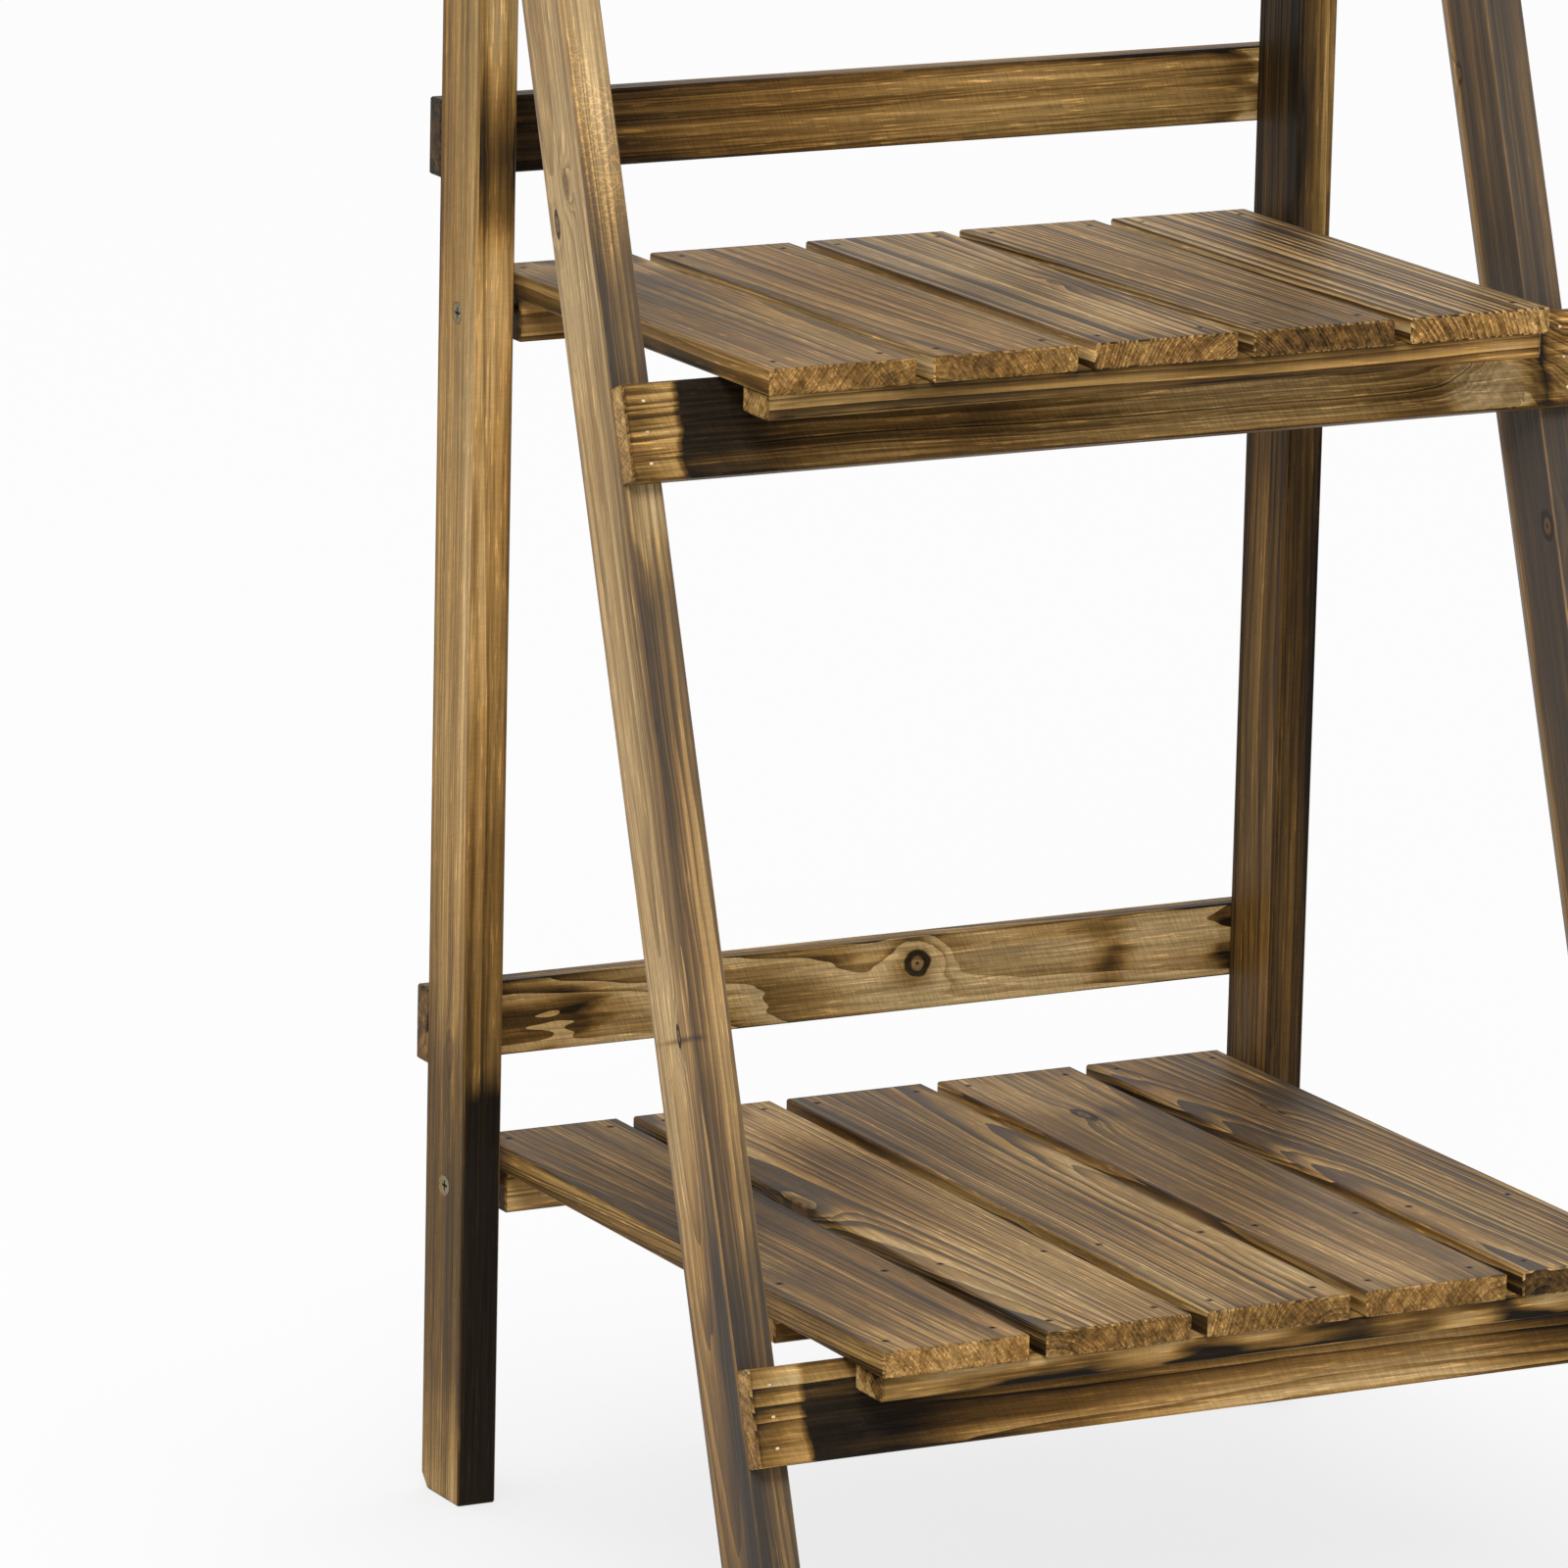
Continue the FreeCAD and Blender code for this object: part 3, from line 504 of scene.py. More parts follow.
def burnt_wood(graph, given, fir):
    """Colour of soft wood and grain lines at a level of burn, shaded by the fibres."""
    soft = graph.ramp(given["Burn"], ((RAW, fir.raw_soft), (GOLDEN, fir.golden_soft),
                                      (BROWN, fir.brown_soft), (BLACK, fir.char_soft)), "LINEAR")
    hard = graph.ramp(given["Burn"], ((RAW, fir.raw_line), (GOLDEN, fir.golden_line),
                                      (BROWN, fir.brown_line), (BLACK, fir.char_line)), "LINEAR")
    off_ends = graph.math("MULTIPLY_ADD", given["End"], -END_FAINT, 1.0)
    strength = graph.mul(given["Line Strength"], off_ends)
    colour = graph.mix(graph.mul(given["Line"], strength), soft, hard)
    tint = graph.noise(graph.scaled(given["Board"], TINTS, given["Seed"]), 1.0)["Fac"]
    colour = graph.times(colour, graph.ramp(tint, WARMTH, "LINEAR"))
    return graph.times(colour, graph.ramp(given["Fibre"], FIBRE_SHADE, "LINEAR"))


def saw_marks(graph, given, axis, lean, scale):
    """Noise of saw teeth that lean across the board along one of its axes."""
    across = graph.spread(graph.split(given["Board"])[axis])
    leaning = graph.vector("ADD", given["Board"], graph.vector("MULTIPLY", across, lean))
    return graph.noise(graph.scaled(leaning, scale, given["Seed"]), 2.0, 0.6)["Fac"]


def toned(graph, colour, mark, tone):
    """A colour made darker and paler by a mark about nought."""
    return graph.times(colour, graph.spread(graph.math("MULTIPLY_ADD", mark, tone, 1.0)))


def tinted(graph, mask, colour, tint):
    """A colour that is tinted where the mask is 1."""
    return graph.mix(mask, colour, graph.times(colour, tint))


def fir_group(fir):
    """Colour, roughness and relief of torched and brushed fir."""
    graph, given, result = new_group(
        "Torched Fir",
        (("Board", VECTOR, None), ("Burn", FLOAT, 0.4), ("Line", FLOAT, 0.0), ("Fibre", FLOAT, 0.5),
         ("Heart", FLOAT, 0.0), ("Rim", FLOAT, 0.0), ("Seed", FLOAT, 0.0), ("Roughness", FLOAT, 0.43),
         ("Line Strength", FLOAT, 0.9), ("Crackle", FLOAT, 0.0), ("Saw", FLOAT, 0.1),
         ("End", FLOAT, 0.0), ("Dust", FLOAT, 0.0), ("Fleck", FLOAT, 0.5)),
        (("Color", COLOUR), ("Roughness", FLOAT), ("Height", FLOAT)))
    colour = burnt_wood(graph, given, fir)
    colour = graph.mix(graph.mul(given["Heart"], 0.7), colour, KNOT_HEART)
    tooth = graph.centred(saw_marks(graph, given, 1, FACE_SAW_LEAN, SAW_TEETH), given["Saw"])
    colour = toned(graph, colour, tooth, FACE_SAW_TONE)
    cells = graph.add("ShaderNodeTexVoronoi", feature="DISTANCE_TO_EDGE")
    cells.inputs["Scale"].default_value = 1.0
    graph.put(cells.inputs["Vector"], graph.scaled(given["Board"], CRACKLE_CELLS, given["Seed"]))
    crack = graph.mul(graph.between(cells.outputs["Distance"], 0.09, 0.02), given["Crackle"])
    colour = tinted(graph, crack, colour, CRACK_TINT)
    # Painted glints: pale flecks on the grain stand in for glints of light
    fleck = graph.noise(graph.scaled(given["Board"], PAINTED_GLINTS, given["Seed"]), 1.0)["Fac"]
    fleck = graph.mul(graph.between(fleck, 0.62, 0.72), given["Fleck"])
    colour = tinted(graph, fleck, colour, PAINTED_GLINT_TINT)
    sawn = graph.centred(saw_marks(graph, given, 2, END_SAW_LEAN, END_SAW_LINES), given["End"])
    colour = toned(graph, colour, sawn, END_SAW_TONE)
    colour = tinted(graph, given["End"], colour, END_TINT)
    # Painted sheen: a grey mixed into the colour stands in for the seal's reflection
    colour = graph.mix(given["Dust"], colour, PAINTED_SHEEN_GREY)
    colour = graph.mix(graph.mul(given["Rim"], 0.95), colour, KNOT_RIM)
    graph.put(result["Color"], colour)
    rough = graph.plus(given["Roughness"], graph.centred(given["Fibre"], 0.35))
    graph.put(result["Roughness"], graph.minus(rough, graph.mul(given["Line"], 0.08)))
    height = graph.plus(graph.mul(given["Line"], LINE_RELIEF), graph.mul(given["Fibre"], FIBRE_RELIEF))
    graph.put(result["Height"], graph.plus(height, tooth))
    return graph.tree


def group_node(graph, tree, **values):
    """A group placed in a material, its inputs named in small letters with underscores."""
    node = graph.add("ShaderNodeGroup")
    node.node_tree = tree
    for name, value in values.items():
        graph.put(node.inputs[name.replace("_", " ").title()], value)
    return node


# Burn along each face of a board: place from 0 to 1 along the grain, and 0 raw to 1 black.
# Faces are named in the board's own frame: best and back, near and far along its width, ends.
FACES = {
    "best": (0, 0, 1), "back": (0, 0, -1), "far": (0, 1, 0), "near": (0, -1, 0),
    "head": (1, 0, 0), "foot": (-1, 0, 0),
}

POST_LEFT = {
    "best": ((0, 0.3), (0.025, 0.5), (0.06, 0.72), (0.12, 0.75), (0.17, 0.7), (0.23, 0.43), (0.35, 0.26),
             (0.49, 0.18), (0.55, 0.39), (1, 0.36)),
    "near": ((0, 0.98), (0.172, 0.98), (0.192, 0.68), (0.27, 0.6), (0.36, 0.46), (0.525, 0.26),
             (0.55, 0.76), (0.57, 0.88), (0.63, 0.33), (1, 0.4)),
    "rest": ((0, 0.7), (0.2, 0.45), (0.5, 0.38), (1, 0.5)),
}
POST_RIGHT = {
    "best": ((0, 0.75), (0.14, 0.71), (0.2, 0.65), (0.3, 0.73), (0.41, 0.77), (0.5, 0.86), (0.61, 0.92),
             (1, 0.85)),
    "near": ((0, 0.8), (0.15, 0.83), (0.24, 0.8), (0.32, 0.79), (0.43, 0.83), (0.56, 0.8), (0.61, 0.74),
             (1, 0.7)),
    "rest": ((0, 0.75), (0.2, 0.45), (0.5, 0.6), (1, 0.45)),
}
LEG_LEFT = {
    "best": ((0, 0.6), (0.06, 0.75), (0.13, 0.73), (0.22, 0.23), (0.26, 0.03), (0.3, 0.19), (0.49, 0.3),
             (0.54, 0.03), (0.57, 0.03), (0.65, 0.14), (1, 0.3)),
    "near": ((0, 0.66), (0.06, 0.71), (0.15, 0.82), (0.18, 0.6), (0.25, 0.45), (0.31, 0.52), (0.36, 0.7),
             (0.42, 0.72), (0.436, 0.55), (0.45, 0.25), (0.475, 0.25), (0.49, 0.8), (0.54, 0.78),
             (0.56, 0.6), (0.585, 0.35), (0.61, 0.18), (0.64, 0.1), (1, 0.35)),
    "rest": ((0, 0.5), (0.2, 0.3), (0.5, 0.5), (1, 0.4)),
}
LEG_RIGHT = {
    "best": ((0, 0.75), (0.3, 0.82), (0.38, 0.92), (0.51, 0.9), (0.6, 0.84), (0.68, 0.84), (1, 0.75)),
    "near": ((0, 0.8), (0.35, 0.88), (0.43, 0.92), (0.56, 0.86), (0.62, 0.9), (1, 0.72)),
    "rest": ((0, 0.65), (0.3, 0.4), (0.6, 0.65), (1, 0.5)),
}
RAIL_MID = {
    "best": ((0, 0.68), (0.046, 0.39), (0.054, 0.98), (0.1, 0.97), (0.23, 0.67), (0.36, 0.78),
             (0.45, 0.54), (0.6, 0.32), (0.7, 0.33), (0.84, 0.61), (0.87, 0.09), (0.925, 0.03),
             (0.95, 0.65), (0.957, 0.96), (0.965, 0.61), (1, 0.45)),
    "foot": ((0, 0.37), (1, 0.37)),
    "rest": ((0, 0.5), (0.05, 0.55), (0.06, 0.85), (0.3, 0.7), (1, 0.6)),
}
RAIL_LOW = {
    "best": ((0, 0.74), (0.046, 0.46), (0.055, 0.98), (0.13, 0.97), (0.3, 0.73), (0.49, 0.4), (0.69, 0.34),
             (0.84, 0.83), (0.945, 0.85), (0.95, 0.22), (1, 0.22)),
    "foot": ((0, 0.48), (1, 0.48)),
    "rest": ((0, 0.4), (0.05, 0.5), (0.06, 0.9), (0.3, 0.7), (1, 0.6)),
}
RAIL_TOP = {
    "best": ((0, 0.25), (0.05, 0.25), (0.056, 0.9), (0.15, 0.8), (0.4, 0.5), (0.7, 0.42), (0.9, 0.7),
             (0.945, 0.92), (0.955, 0.2), (1, 0.2)),
    "rest": ((0, 0.4), (0.06, 0.5), (0.08, 0.85), (0.3, 0.65), (1, 0.6)),
}
BACK_RAIL_MID = {
    "best": ((0, 0.6), (0.09, 0.91), (0.11, 0.91), (0.36, 0.62), (0.66, 0.48), (0.88, 0.6), (0.932, 0.78),
             (0.95, 0.62), (0.956, 0.25), (1, 0.25)),
    "foot": ((0, 0.87), (1, 0.87)),
    "rest": ((0, 0.7), (0.2, 0.7), (0.6, 0.5), (1, 0.7)),
}
BACK_RAIL_LOW = {
    "best": ((0, 0.45), (0.1, 0.48), (0.13, 0.48), (0.175, 0.66), (0.2, 0.42), (0.22, 0.15), (0.26, 0.06),
             (0.35, 0.25), (0.49, 0.3), (0.63, 0.0), (0.76, 0.06), (0.81, 0.38), (0.87, 0.0), (0.955, 0.0),
             (1, 0.8)),
    "foot": ((0, 0.71), (1, 0.71)),
    "rest": ((0, 0.6), (0.12, 0.85), (0.25, 0.5), (0.6, 0.4), (1, 0.6)),
}
BACK_RAIL_TOP = {
    "best": ((0, 0.5), (0.08, 0.85), (0.2, 0.6), (0.5, 0.45), (0.8, 0.55), (0.92, 0.8), (1, 0.5)),
    "rest": ((0, 0.6), (0.2, 0.65), (0.6, 0.5), (1, 0.65)),
}
SLAT_SIDES = {
    "foot": ((0, 0.5), (1, 0.5)),
    "far": ((0, 0.6), (0.5, 0.62), (1, 0.6)),
    "rest": ((0, 0.5), (0.5, 0.55), (1, 0.45)),
}
BATTEN_MID = {
    "near": ((0, 0.36), (0.05, 0.64), (0.2, 0.84), (0.44, 0.68), (0.6, 0.75), (0.73, 0.49), (0.82, 0.53),
             (0.92, 0.38), (1, 0.73)),
    "foot": ((0, 0.43), (1, 0.43)),
    "rest": ((0, 0.5), (1, 0.5)),
}
BATTEN_LOW = {
    "near": ((0, 0.48), (0.1, 0.3), (0.18, 0.59), (0.36, 0.42), (0.41, 0.98), (0.49, 0.82), (0.61, 0.96),
             (0.72, 0.43), (0.82, 0.94), (0.88, 0.3), (1, 0.75)),
    "foot": ((0, 0.52), (1, 0.52)),
    "rest": ((0, 0.5), (1, 0.5)),
}
REAR_BATTEN = {
    "near": ((0, 0.3), (0.3, 0.36), (1, 0.5)),
    "foot": ((0, 0.8), (1, 0.8)),
    "rest": ((0, 0.45), (1, 0.5)),
}

# Slats: burn along the top, then on the left side and on the front end
SLAT_TOPS = {
    "low_slat_1": (((0, 0.62), (0.2, 0.69), (0.45, 0.8), (0.6, 0.56), (0.85, 0.63), (1, 0.37)), 0.39, 0.41),
    "low_slat_2": (((0, 0.56), (0.06, 0.08), (0.3, 0.61), (0.84, 0.23), (1, 0.33)), 0.73, 0.6),
    "low_slat_3": (((0, 0.62), (0.26, 0.61), (0.4, 0.52), (0.55, 0.59), (0.92, 0.38), (1, 0.57)),
                   0.58, 0.6),
    "low_slat_4": (((0, 0.49), (0.06, 0.33), (0.34, 0.69), (0.93, 0.44), (1, 0.63)), 0.32, 0.59),
    "low_slat_5": (((0, 0.55), (0.23, 0.77), (0.5, 0.57), (0.86, 0.56), (1, 0.52)), 0.67, 0.85),
    "mid_slat_1": (((0, 0.8), (0.06, 0.21), (0.17, 0.59), (0.32, 0.66), (1, 0.45)), 0.55, 0.57),
    "mid_slat_2": (((0, 0.57), (1, 0.53)), 0.1, 0.62),
    "mid_slat_3": (((0, 0.41), (0.3, 0.27), (0.5, 0.64), (0.7, 0.42), (0.93, 0.31), (1, 0.6)), 0.1, 0.49),
    "mid_slat_4": (((0, 0.31), (0.32, 0.51), (1, 0.6)), 0.22, 0.72),
    "mid_slat_5": (((0, 0.29), (0.09, 0.45), (0.22, 0.61), (0.41, 0.5), (0.8, 0.48), (1, 0.54)), 0.21, 0.5),
    "top_slat_1": (((0, 0.5), (0.3, 0.58), (0.6, 0.46), (1, 0.44)), 0.5, 0.53),
    "top_slat_2": (((0, 0.44), (0.4, 0.55), (1, 0.4)), 0.4, 0.55),
    "top_slat_3": (((0, 0.5), (0.6, 0.38), (1, 0.48)), 0.35, 0.51),
    "top_slat_4": (((0, 0.46), (0.3, 0.42), (0.7, 0.58), (1, 0.46)), 0.45, 0.59),
    "top_slat_5": (((0, 0.42), (0.5, 0.52), (1, 0.44)), 0.45, 0.53),
}

# Scorch and pale patches: face, place along and across from 0 to 1, their half lengths, burn added
PATCHES = {
    "front_leg_left": (
        ("best", 0.15, 0.9, 0.12, 0.2, -0.34), ("best", 0.25, 0.15, 0.23, 0.27, 0.3),
        ("best", 0.38, 0.85, 0.11, 0.27, -0.2), ("near", 0.08, 0.9, 0.03, 0.2, 0.17),
        ("best", 0.256, 0.5, 0.001, 0.6, 0.5)),
    "front_leg_right": (
        ("best", 0.34, 0.97, 0.12, 0.1, -0.5), ("best", 0.58, 0.97, 0.12, 0.1, -0.6),
        ("best", 0.61, 0.5, 0.06, 0.12, -0.15), ("near", 0.56, 0.2, 0.08, 0.12, -0.12)),
    "front_rail_low": (
        ("best", 0.07, 0.9, 0.05, 0.2, -0.35), ("best", 0.52, 0.05, 0.24, 0.15, -0.25),
        ("best", 0.4, 0.75, 0.08, 0.2, 0.15)),
    "front_rail_mid": (
        ("best", 0.91, 0.5, 0.06, 0.13, 0.16), ("best", 0.9, 0.25, 0.08, 0.25, -0.12),
        ("best", 0.25, 0.1, 0.2, 0.15, -0.15)),
    "low_front_batten": (
        ("near", 0.19, 0.8, 0.22, 0.2, -0.55), ("near", 0.2, 0.15, 0.2, 0.2, 0.5),
        ("near", 0.86, 0.1, 0.04, 0.2, 0.5), ("near", 0.5, 0.75, 0.05, 0.25, -0.55)),
    "low_slat_1": (("best", 0.7, 0.25, 0.06, 0.25, 0.14), ("best", 0.16, 0.67, 0.1, 0.2, -0.12),
                   ("near", 0.79, 0.1, 0.07, 0.2, -0.3), ("near", 0.85, 0.9, 0.15, 0.2, 0.25)),
    "low_slat_2": (("best", 0.39, 0.1, 0.14, 0.2, 0.18), ("best", 0.81, 0.1, 0.18, 0.2, 0.17),
                   ("best", 0.9, 0.95, 0.11, 0.13, 0.12)),
    "low_slat_3": (("best", 0.21, 0.05, 0.23, 0.13, 0.18), ("best", 0.22, 0.78, 0.26, 0.2, -0.15),
                   ("best", 0.76, 0.78, 0.28, 0.2, -0.12)),
    "low_slat_4": (("best", 0.09, 0.05, 0.1, 0.13, 0.18), ("best", 0.76, 0.1, 0.23, 0.15, 0.15),
                   ("best", 0.85, 0.25, 0.18, 0.2, -0.13), ("best", 0.21, 0.55, 0.03, 0.2, 0.25)),
    "low_slat_5": (("best", 0.81, 0.05, 0.07, 0.13, 0.16), ("best", 0.74, 0.9, 0.08, 0.2, -0.13),
                   ("best", 0.24, 0.85, 0.09, 0.25, 0.16), ("best", 0.22, 0.3, 0.08, 0.25, -0.15)),
    "mid_slat_1": (("best", 0.05, 0.95, 0.04, 0.13, -0.12), ("best", 0.22, 0.9, 0.15, 0.2, 0.12),
                   ("near", 0.86, 0.06, 0.06, 0.15, -0.4), ("near", 0.62, 0.1, 0.04, 0.2, -0.26)),
    "mid_slat_2": (("best", 0.93, 0.9, 0.08, 0.2, 0.14), ("best", 0.42, 0.95, 0.3, 0.13, 0.14),
                   ("best", 0.82, 0.1, 0.21, 0.2, -0.12)),
    "mid_slat_3": (("best", 0.67, 0.92, 0.29, 0.15, 0.26), ("best", 0.75, 0.66, 0.17, 0.2, -0.32)),
    "mid_slat_4": (("best", 0.33, 0.1, 0.2, 0.2, 0.16), ("best", 0.3, 0.4, 0.13, 0.27, -0.24)),
    "mid_slat_5": (("best", 0.17, 0.9, 0.13, 0.2, 0.3), ("best", 0.17, 0.1, 0.17, 0.2, -0.3),
                   ("best", 0.37, 0.95, 0.07, 0.13, -0.2)),
    "mid_front_batten": (("near", 0.04, 0.1, 0.06, 0.2, 0.23), ("near", 0.08, 0.8, 0.09, 0.2, -0.2),
                         ("near", 0.4, 0.9, 0.03, 0.2, 0.2)),
    "rear_post_left": (("best", 0.42, 0.1, 0.14, 0.2, -0.19), ("best", 0.52, 0.9, 0.13, 0.2, 0.19),
                       ("best", 0.22, 0.9, 0.07, 0.2, 0.14), ("near", 0.42, 0.1, 0.07, 0.2, 0.3),
                       ("near", 0.38, 0.85, 0.1, 0.25, -0.2)),
    "rear_post_right": (("near", 0.58, 0.15, 0.12, 0.22, -0.3), ("near", 0.56, 0.85, 0.12, 0.25, 0.15),
                        ("best", 0.36, 0.5, 0.08, 0.14, -0.2), ("near", 0.3, 0.05, 0.17, 0.13, 0.16),
                        ("near", 0.31, 0.9, 0.08, 0.2, -0.12)),
    "rear_rail_low": (("best", 0.21, 0.1, 0.07, 0.2, -0.14), ("best", 0.93, 0.98, 0.05, 0.1, 0.35),
                      ("best", 0.815, 0.35, 0.022, 0.3, 0.42), ("best", 0.78, 0.8, 0.05, 0.2, 0.12),
                      ("best", 0.945, 0.75, 0.012, 0.1, 0.4), ("best", 0.945, 0.4, 0.012, 0.1, 0.4),
                      ("best", 0.7, 0.9, 0.12, 0.12, 0.2), ("best", 0.45, 0.85, 0.12, 0.2, 0.2),
                      ("best", 0.62, 0.2, 0.06, 0.25, -0.15)),
    "rear_rail_mid": (("best", 0.8, 0.98, 0.2, 0.1, 0.3), ("best", 0.65, 0.8, 0.21, 0.2, -0.12),
                      ("best", 0.945, 0.1, 0.012, 0.25, -0.4)),
}

# Knots: place along the grain from 0 to 1, across and into the board in metres, radius, stretch, dark rim
KNOTS = {
    "rear_post_left": ((0.193, -0.004, 0.01, 0.0036, 2.6, 0.4),),
    "front_leg_left": ((0.58, 0.0, 0.01, 0.0026, 2.2, 0.4), (0.566, 0.014, 0.01, 0.002, 2.8, 0.9),
                       (0.258, -0.004, 0.01, 0.0016, 3.0, 1.0)),
    "front_leg_right": ((0.418, -0.011, 0.01, 0.0042, 1.5, 0.6), (0.6, 0.014, 0.01, 0.0025, 1.8, 0.5)),
    "rear_rail_low": ((0.575, 0.005, 0.006, 0.0055, 1.1, 1.0),),
    "front_rail_mid": ((0.9, 0.022, 0.006, 0.009, 1.5, 0.0), (0.93, -0.004, 0.006, 0.007, 1.4, 0.0)),
    "low_slat_4": ((0.205, -0.002, 0.006, 0.0034, 3.0, 0.9),),
    "low_slat_2": ((0.42, -0.036, 0.006, 0.004, 3.0, 0.5),),
    "low_slat_5": ((0.27, 0.004, 0.006, 0.0025, 3.6, 0.6),),
    "mid_slat_3": ((0.5, 0.02, 0.006, 0.002, 3.4, 0.6),),
    "top_slat_2": ((0.6, -0.01, 0.006, 0.0035, 2.4, 0.6),),
}

# Marks on a board: flames, streaks, rings and late wood in the burn, burnt edges, the wobble of the
# burn along the grain in metres, saw marks, a grey painted sheen and pale painted glints
USUAL_MARKS = {
    "flame": 0.1, "streak": 0.1, "ring_burn": 0.14, "season": 0.1, "edge": 0.18, "wobble": 0.05,
    "saw": 0.1, "dust": 0.0, "fleck": 0.5,
}
# Boards: axes, burn on the faces, and what differs from the usual marks.
# Some have a crackled place, from 0 to 1 along the grain, or worn corners with a painted highlight.
BOARDS = {
    "rear_post_left": ("post", POST_LEFT, {
        "flame": 0.05, "wobble": 0.012, "ring_burn": 0.05, "season": 0.05}),
    "rear_post_right": ("post", POST_RIGHT, {"flame": 0.05, "ring_burn": 0.08, "season": 0.06}),
    "front_leg_left": ("leg", LEG_LEFT, {
        "flame": 0.06, "ring_burn": 0.09, "crackle": 0.59, "dust": 0.16, "worn_highlight": 0.2}),
    "front_leg_right": ("leg", LEG_RIGHT, {"flame": 0.04, "ring_burn": 0.06, "dust": 0.2, "worn_highlight": 0.75}),
    "rear_rail_low": ("rear_rail", BACK_RAIL_LOW, {"flame": 0.14, "saw": 0.3, "season": 0.32}),
    "rear_rail_mid": ("rear_rail", BACK_RAIL_MID, {
        "flame": 0.05, "saw": 0.25, "ring_burn": 0.06, "season": 0.05, "fleck": 0.8}),
    "rear_rail_top": ("rear_rail", BACK_RAIL_TOP, {"flame": 0.12, "saw": 0.25}),
    "front_rail_low": ("front_rail", RAIL_LOW, {
        "flame": 0.07, "wobble": 0.004, "saw": 0.25, "season": 0.28}),
    "front_rail_mid": ("front_rail", RAIL_MID, {"flame": 0.07, "wobble": 0.004, "saw": 0.3, "fleck": 0.8}),
    "front_rail_top": ("front_rail", RAIL_TOP, {"flame": 0.12, "wobble": 0.005, "saw": 0.25}),
    "low_rear_batten": ("batten", REAR_BATTEN, {}),
    "mid_rear_batten": ("batten", REAR_BATTEN, {}),
    "top_rear_batten": ("batten", REAR_BATTEN, {}),
    "low_middle_batten": ("batten", BATTEN_MID, {}),
    "low_front_batten": ("batten", BATTEN_LOW, {"flame": 0.42, "ring_burn": 0.05}),
    "mid_front_batten": ("batten", BATTEN_MID, {"ring_burn": 0.25}),
    "top_front_batten": ("batten", BATTEN_MID, {"ring_burn": 0.25}),
}

# Slats on which the late wood took more of the flame, and the usual share
SEASONED = {
    "low_slat_2": 0.24, "low_slat_3": 0.26, "low_slat_5": 0.26,
    "mid_slat_3": 0.32, "mid_slat_4": 0.26, "mid_slat_5": 0.5,
}
USUAL_SEASON = 0.15
for slat, (top_burn, side_burn, end_burn) in SLAT_TOPS.items():
    slat_faces = {
        "best": top_burn, "near": ((0, side_burn), (1, side_burn)), "head": ((0, end_burn), (1, end_burn)),
        **SLAT_SIDES}
    # Slats take a grey painted sheen on their tops and pale painted glints on their grain
    BOARDS[slat] = ("slat", slat_faces, {
        "edge": 0.4, "flame": 0.08, "season": SEASONED.get(slat, USUAL_SEASON),
        "ring_burn": 0.14, "dust": 0.12, "fleck": 0.7})

# Figure of the grain: pith across and below the best face, its tilt, ring width, line strength, wander
FIGURES = {
    "rear_post_left": (0.05, -0.03, 0.0, 0.0023, 0.5, 0.003),
    "rear_post_right": (-0.04, -0.04, 0.01, 0.0032, 0.6, 0.005),
    "front_leg_left": (0.004, -0.022, 0.02, 0.0026, 0.7, 0.006),
    "front_leg_right": (-0.04, -0.03, 0.0, 0.0034, 0.35, 0.004),
    "rear_rail_low": (0.012, -0.03, 0.04, 0.0062, 0.6, 0.012),
    "rear_rail_mid": (-0.06, -0.05, 0.01, 0.0024, 0.4, 0.004),
    "front_rail_low": (-0.03, -0.02, 0.01, 0.006, 0.6, 0.006),
    "front_rail_mid": (0.05, -0.03, 0.01, 0.0026, 0.8, 0.004),
    "low_front_batten": (0.03, -0.04, 0.02, 0.005, 0.3, 0.006),
    "mid_front_batten": (0.03, -0.05, 0.0, 0.003, 0.9, 0.003),
    "low_slat_1": (-0.05, -0.04, 0.03, 0.0026, 0.65, 0.004),
    "low_slat_2": (-0.035, -0.035, 0.03, 0.0028, 0.8, 0.005),
    "low_slat_3": (0.03, -0.025, 0.035, 0.0034, 1.0, 0.006),
    "low_slat_4": (0.045, -0.04, 0.02, 0.0028, 0.6, 0.008),
    "low_slat_5": (-0.024, -0.022, 0.045, 0.0036, 1.0, 0.008),
    "mid_slat_1": (0.045, -0.04, 0.015, 0.0034, 0.6, 0.005),
    "mid_slat_2": (-0.04, -0.04, 0.02, 0.0034, 0.58, 0.005),
    "mid_slat_3": (0.05, -0.03, 0.03, 0.0034, 1.0, 0.004),
    "mid_slat_4": (-0.06, -0.04, 0.02, 0.0026, 0.9, 0.003),
    "mid_slat_5": (-0.07, -0.03, 0.01, 0.0046, 1.0, 0.003),
    "top_slat_2": (0.01, -0.025, 0.07, 0.0034, 0.9, 0.006),
    "top_slat_4": (-0.02, -0.03, 0.05, 0.003, 0.8, 0.006),
}
USUAL_FIGURE = (0.05, -0.03, 0.03, 0.003, 0.85, 0.004)


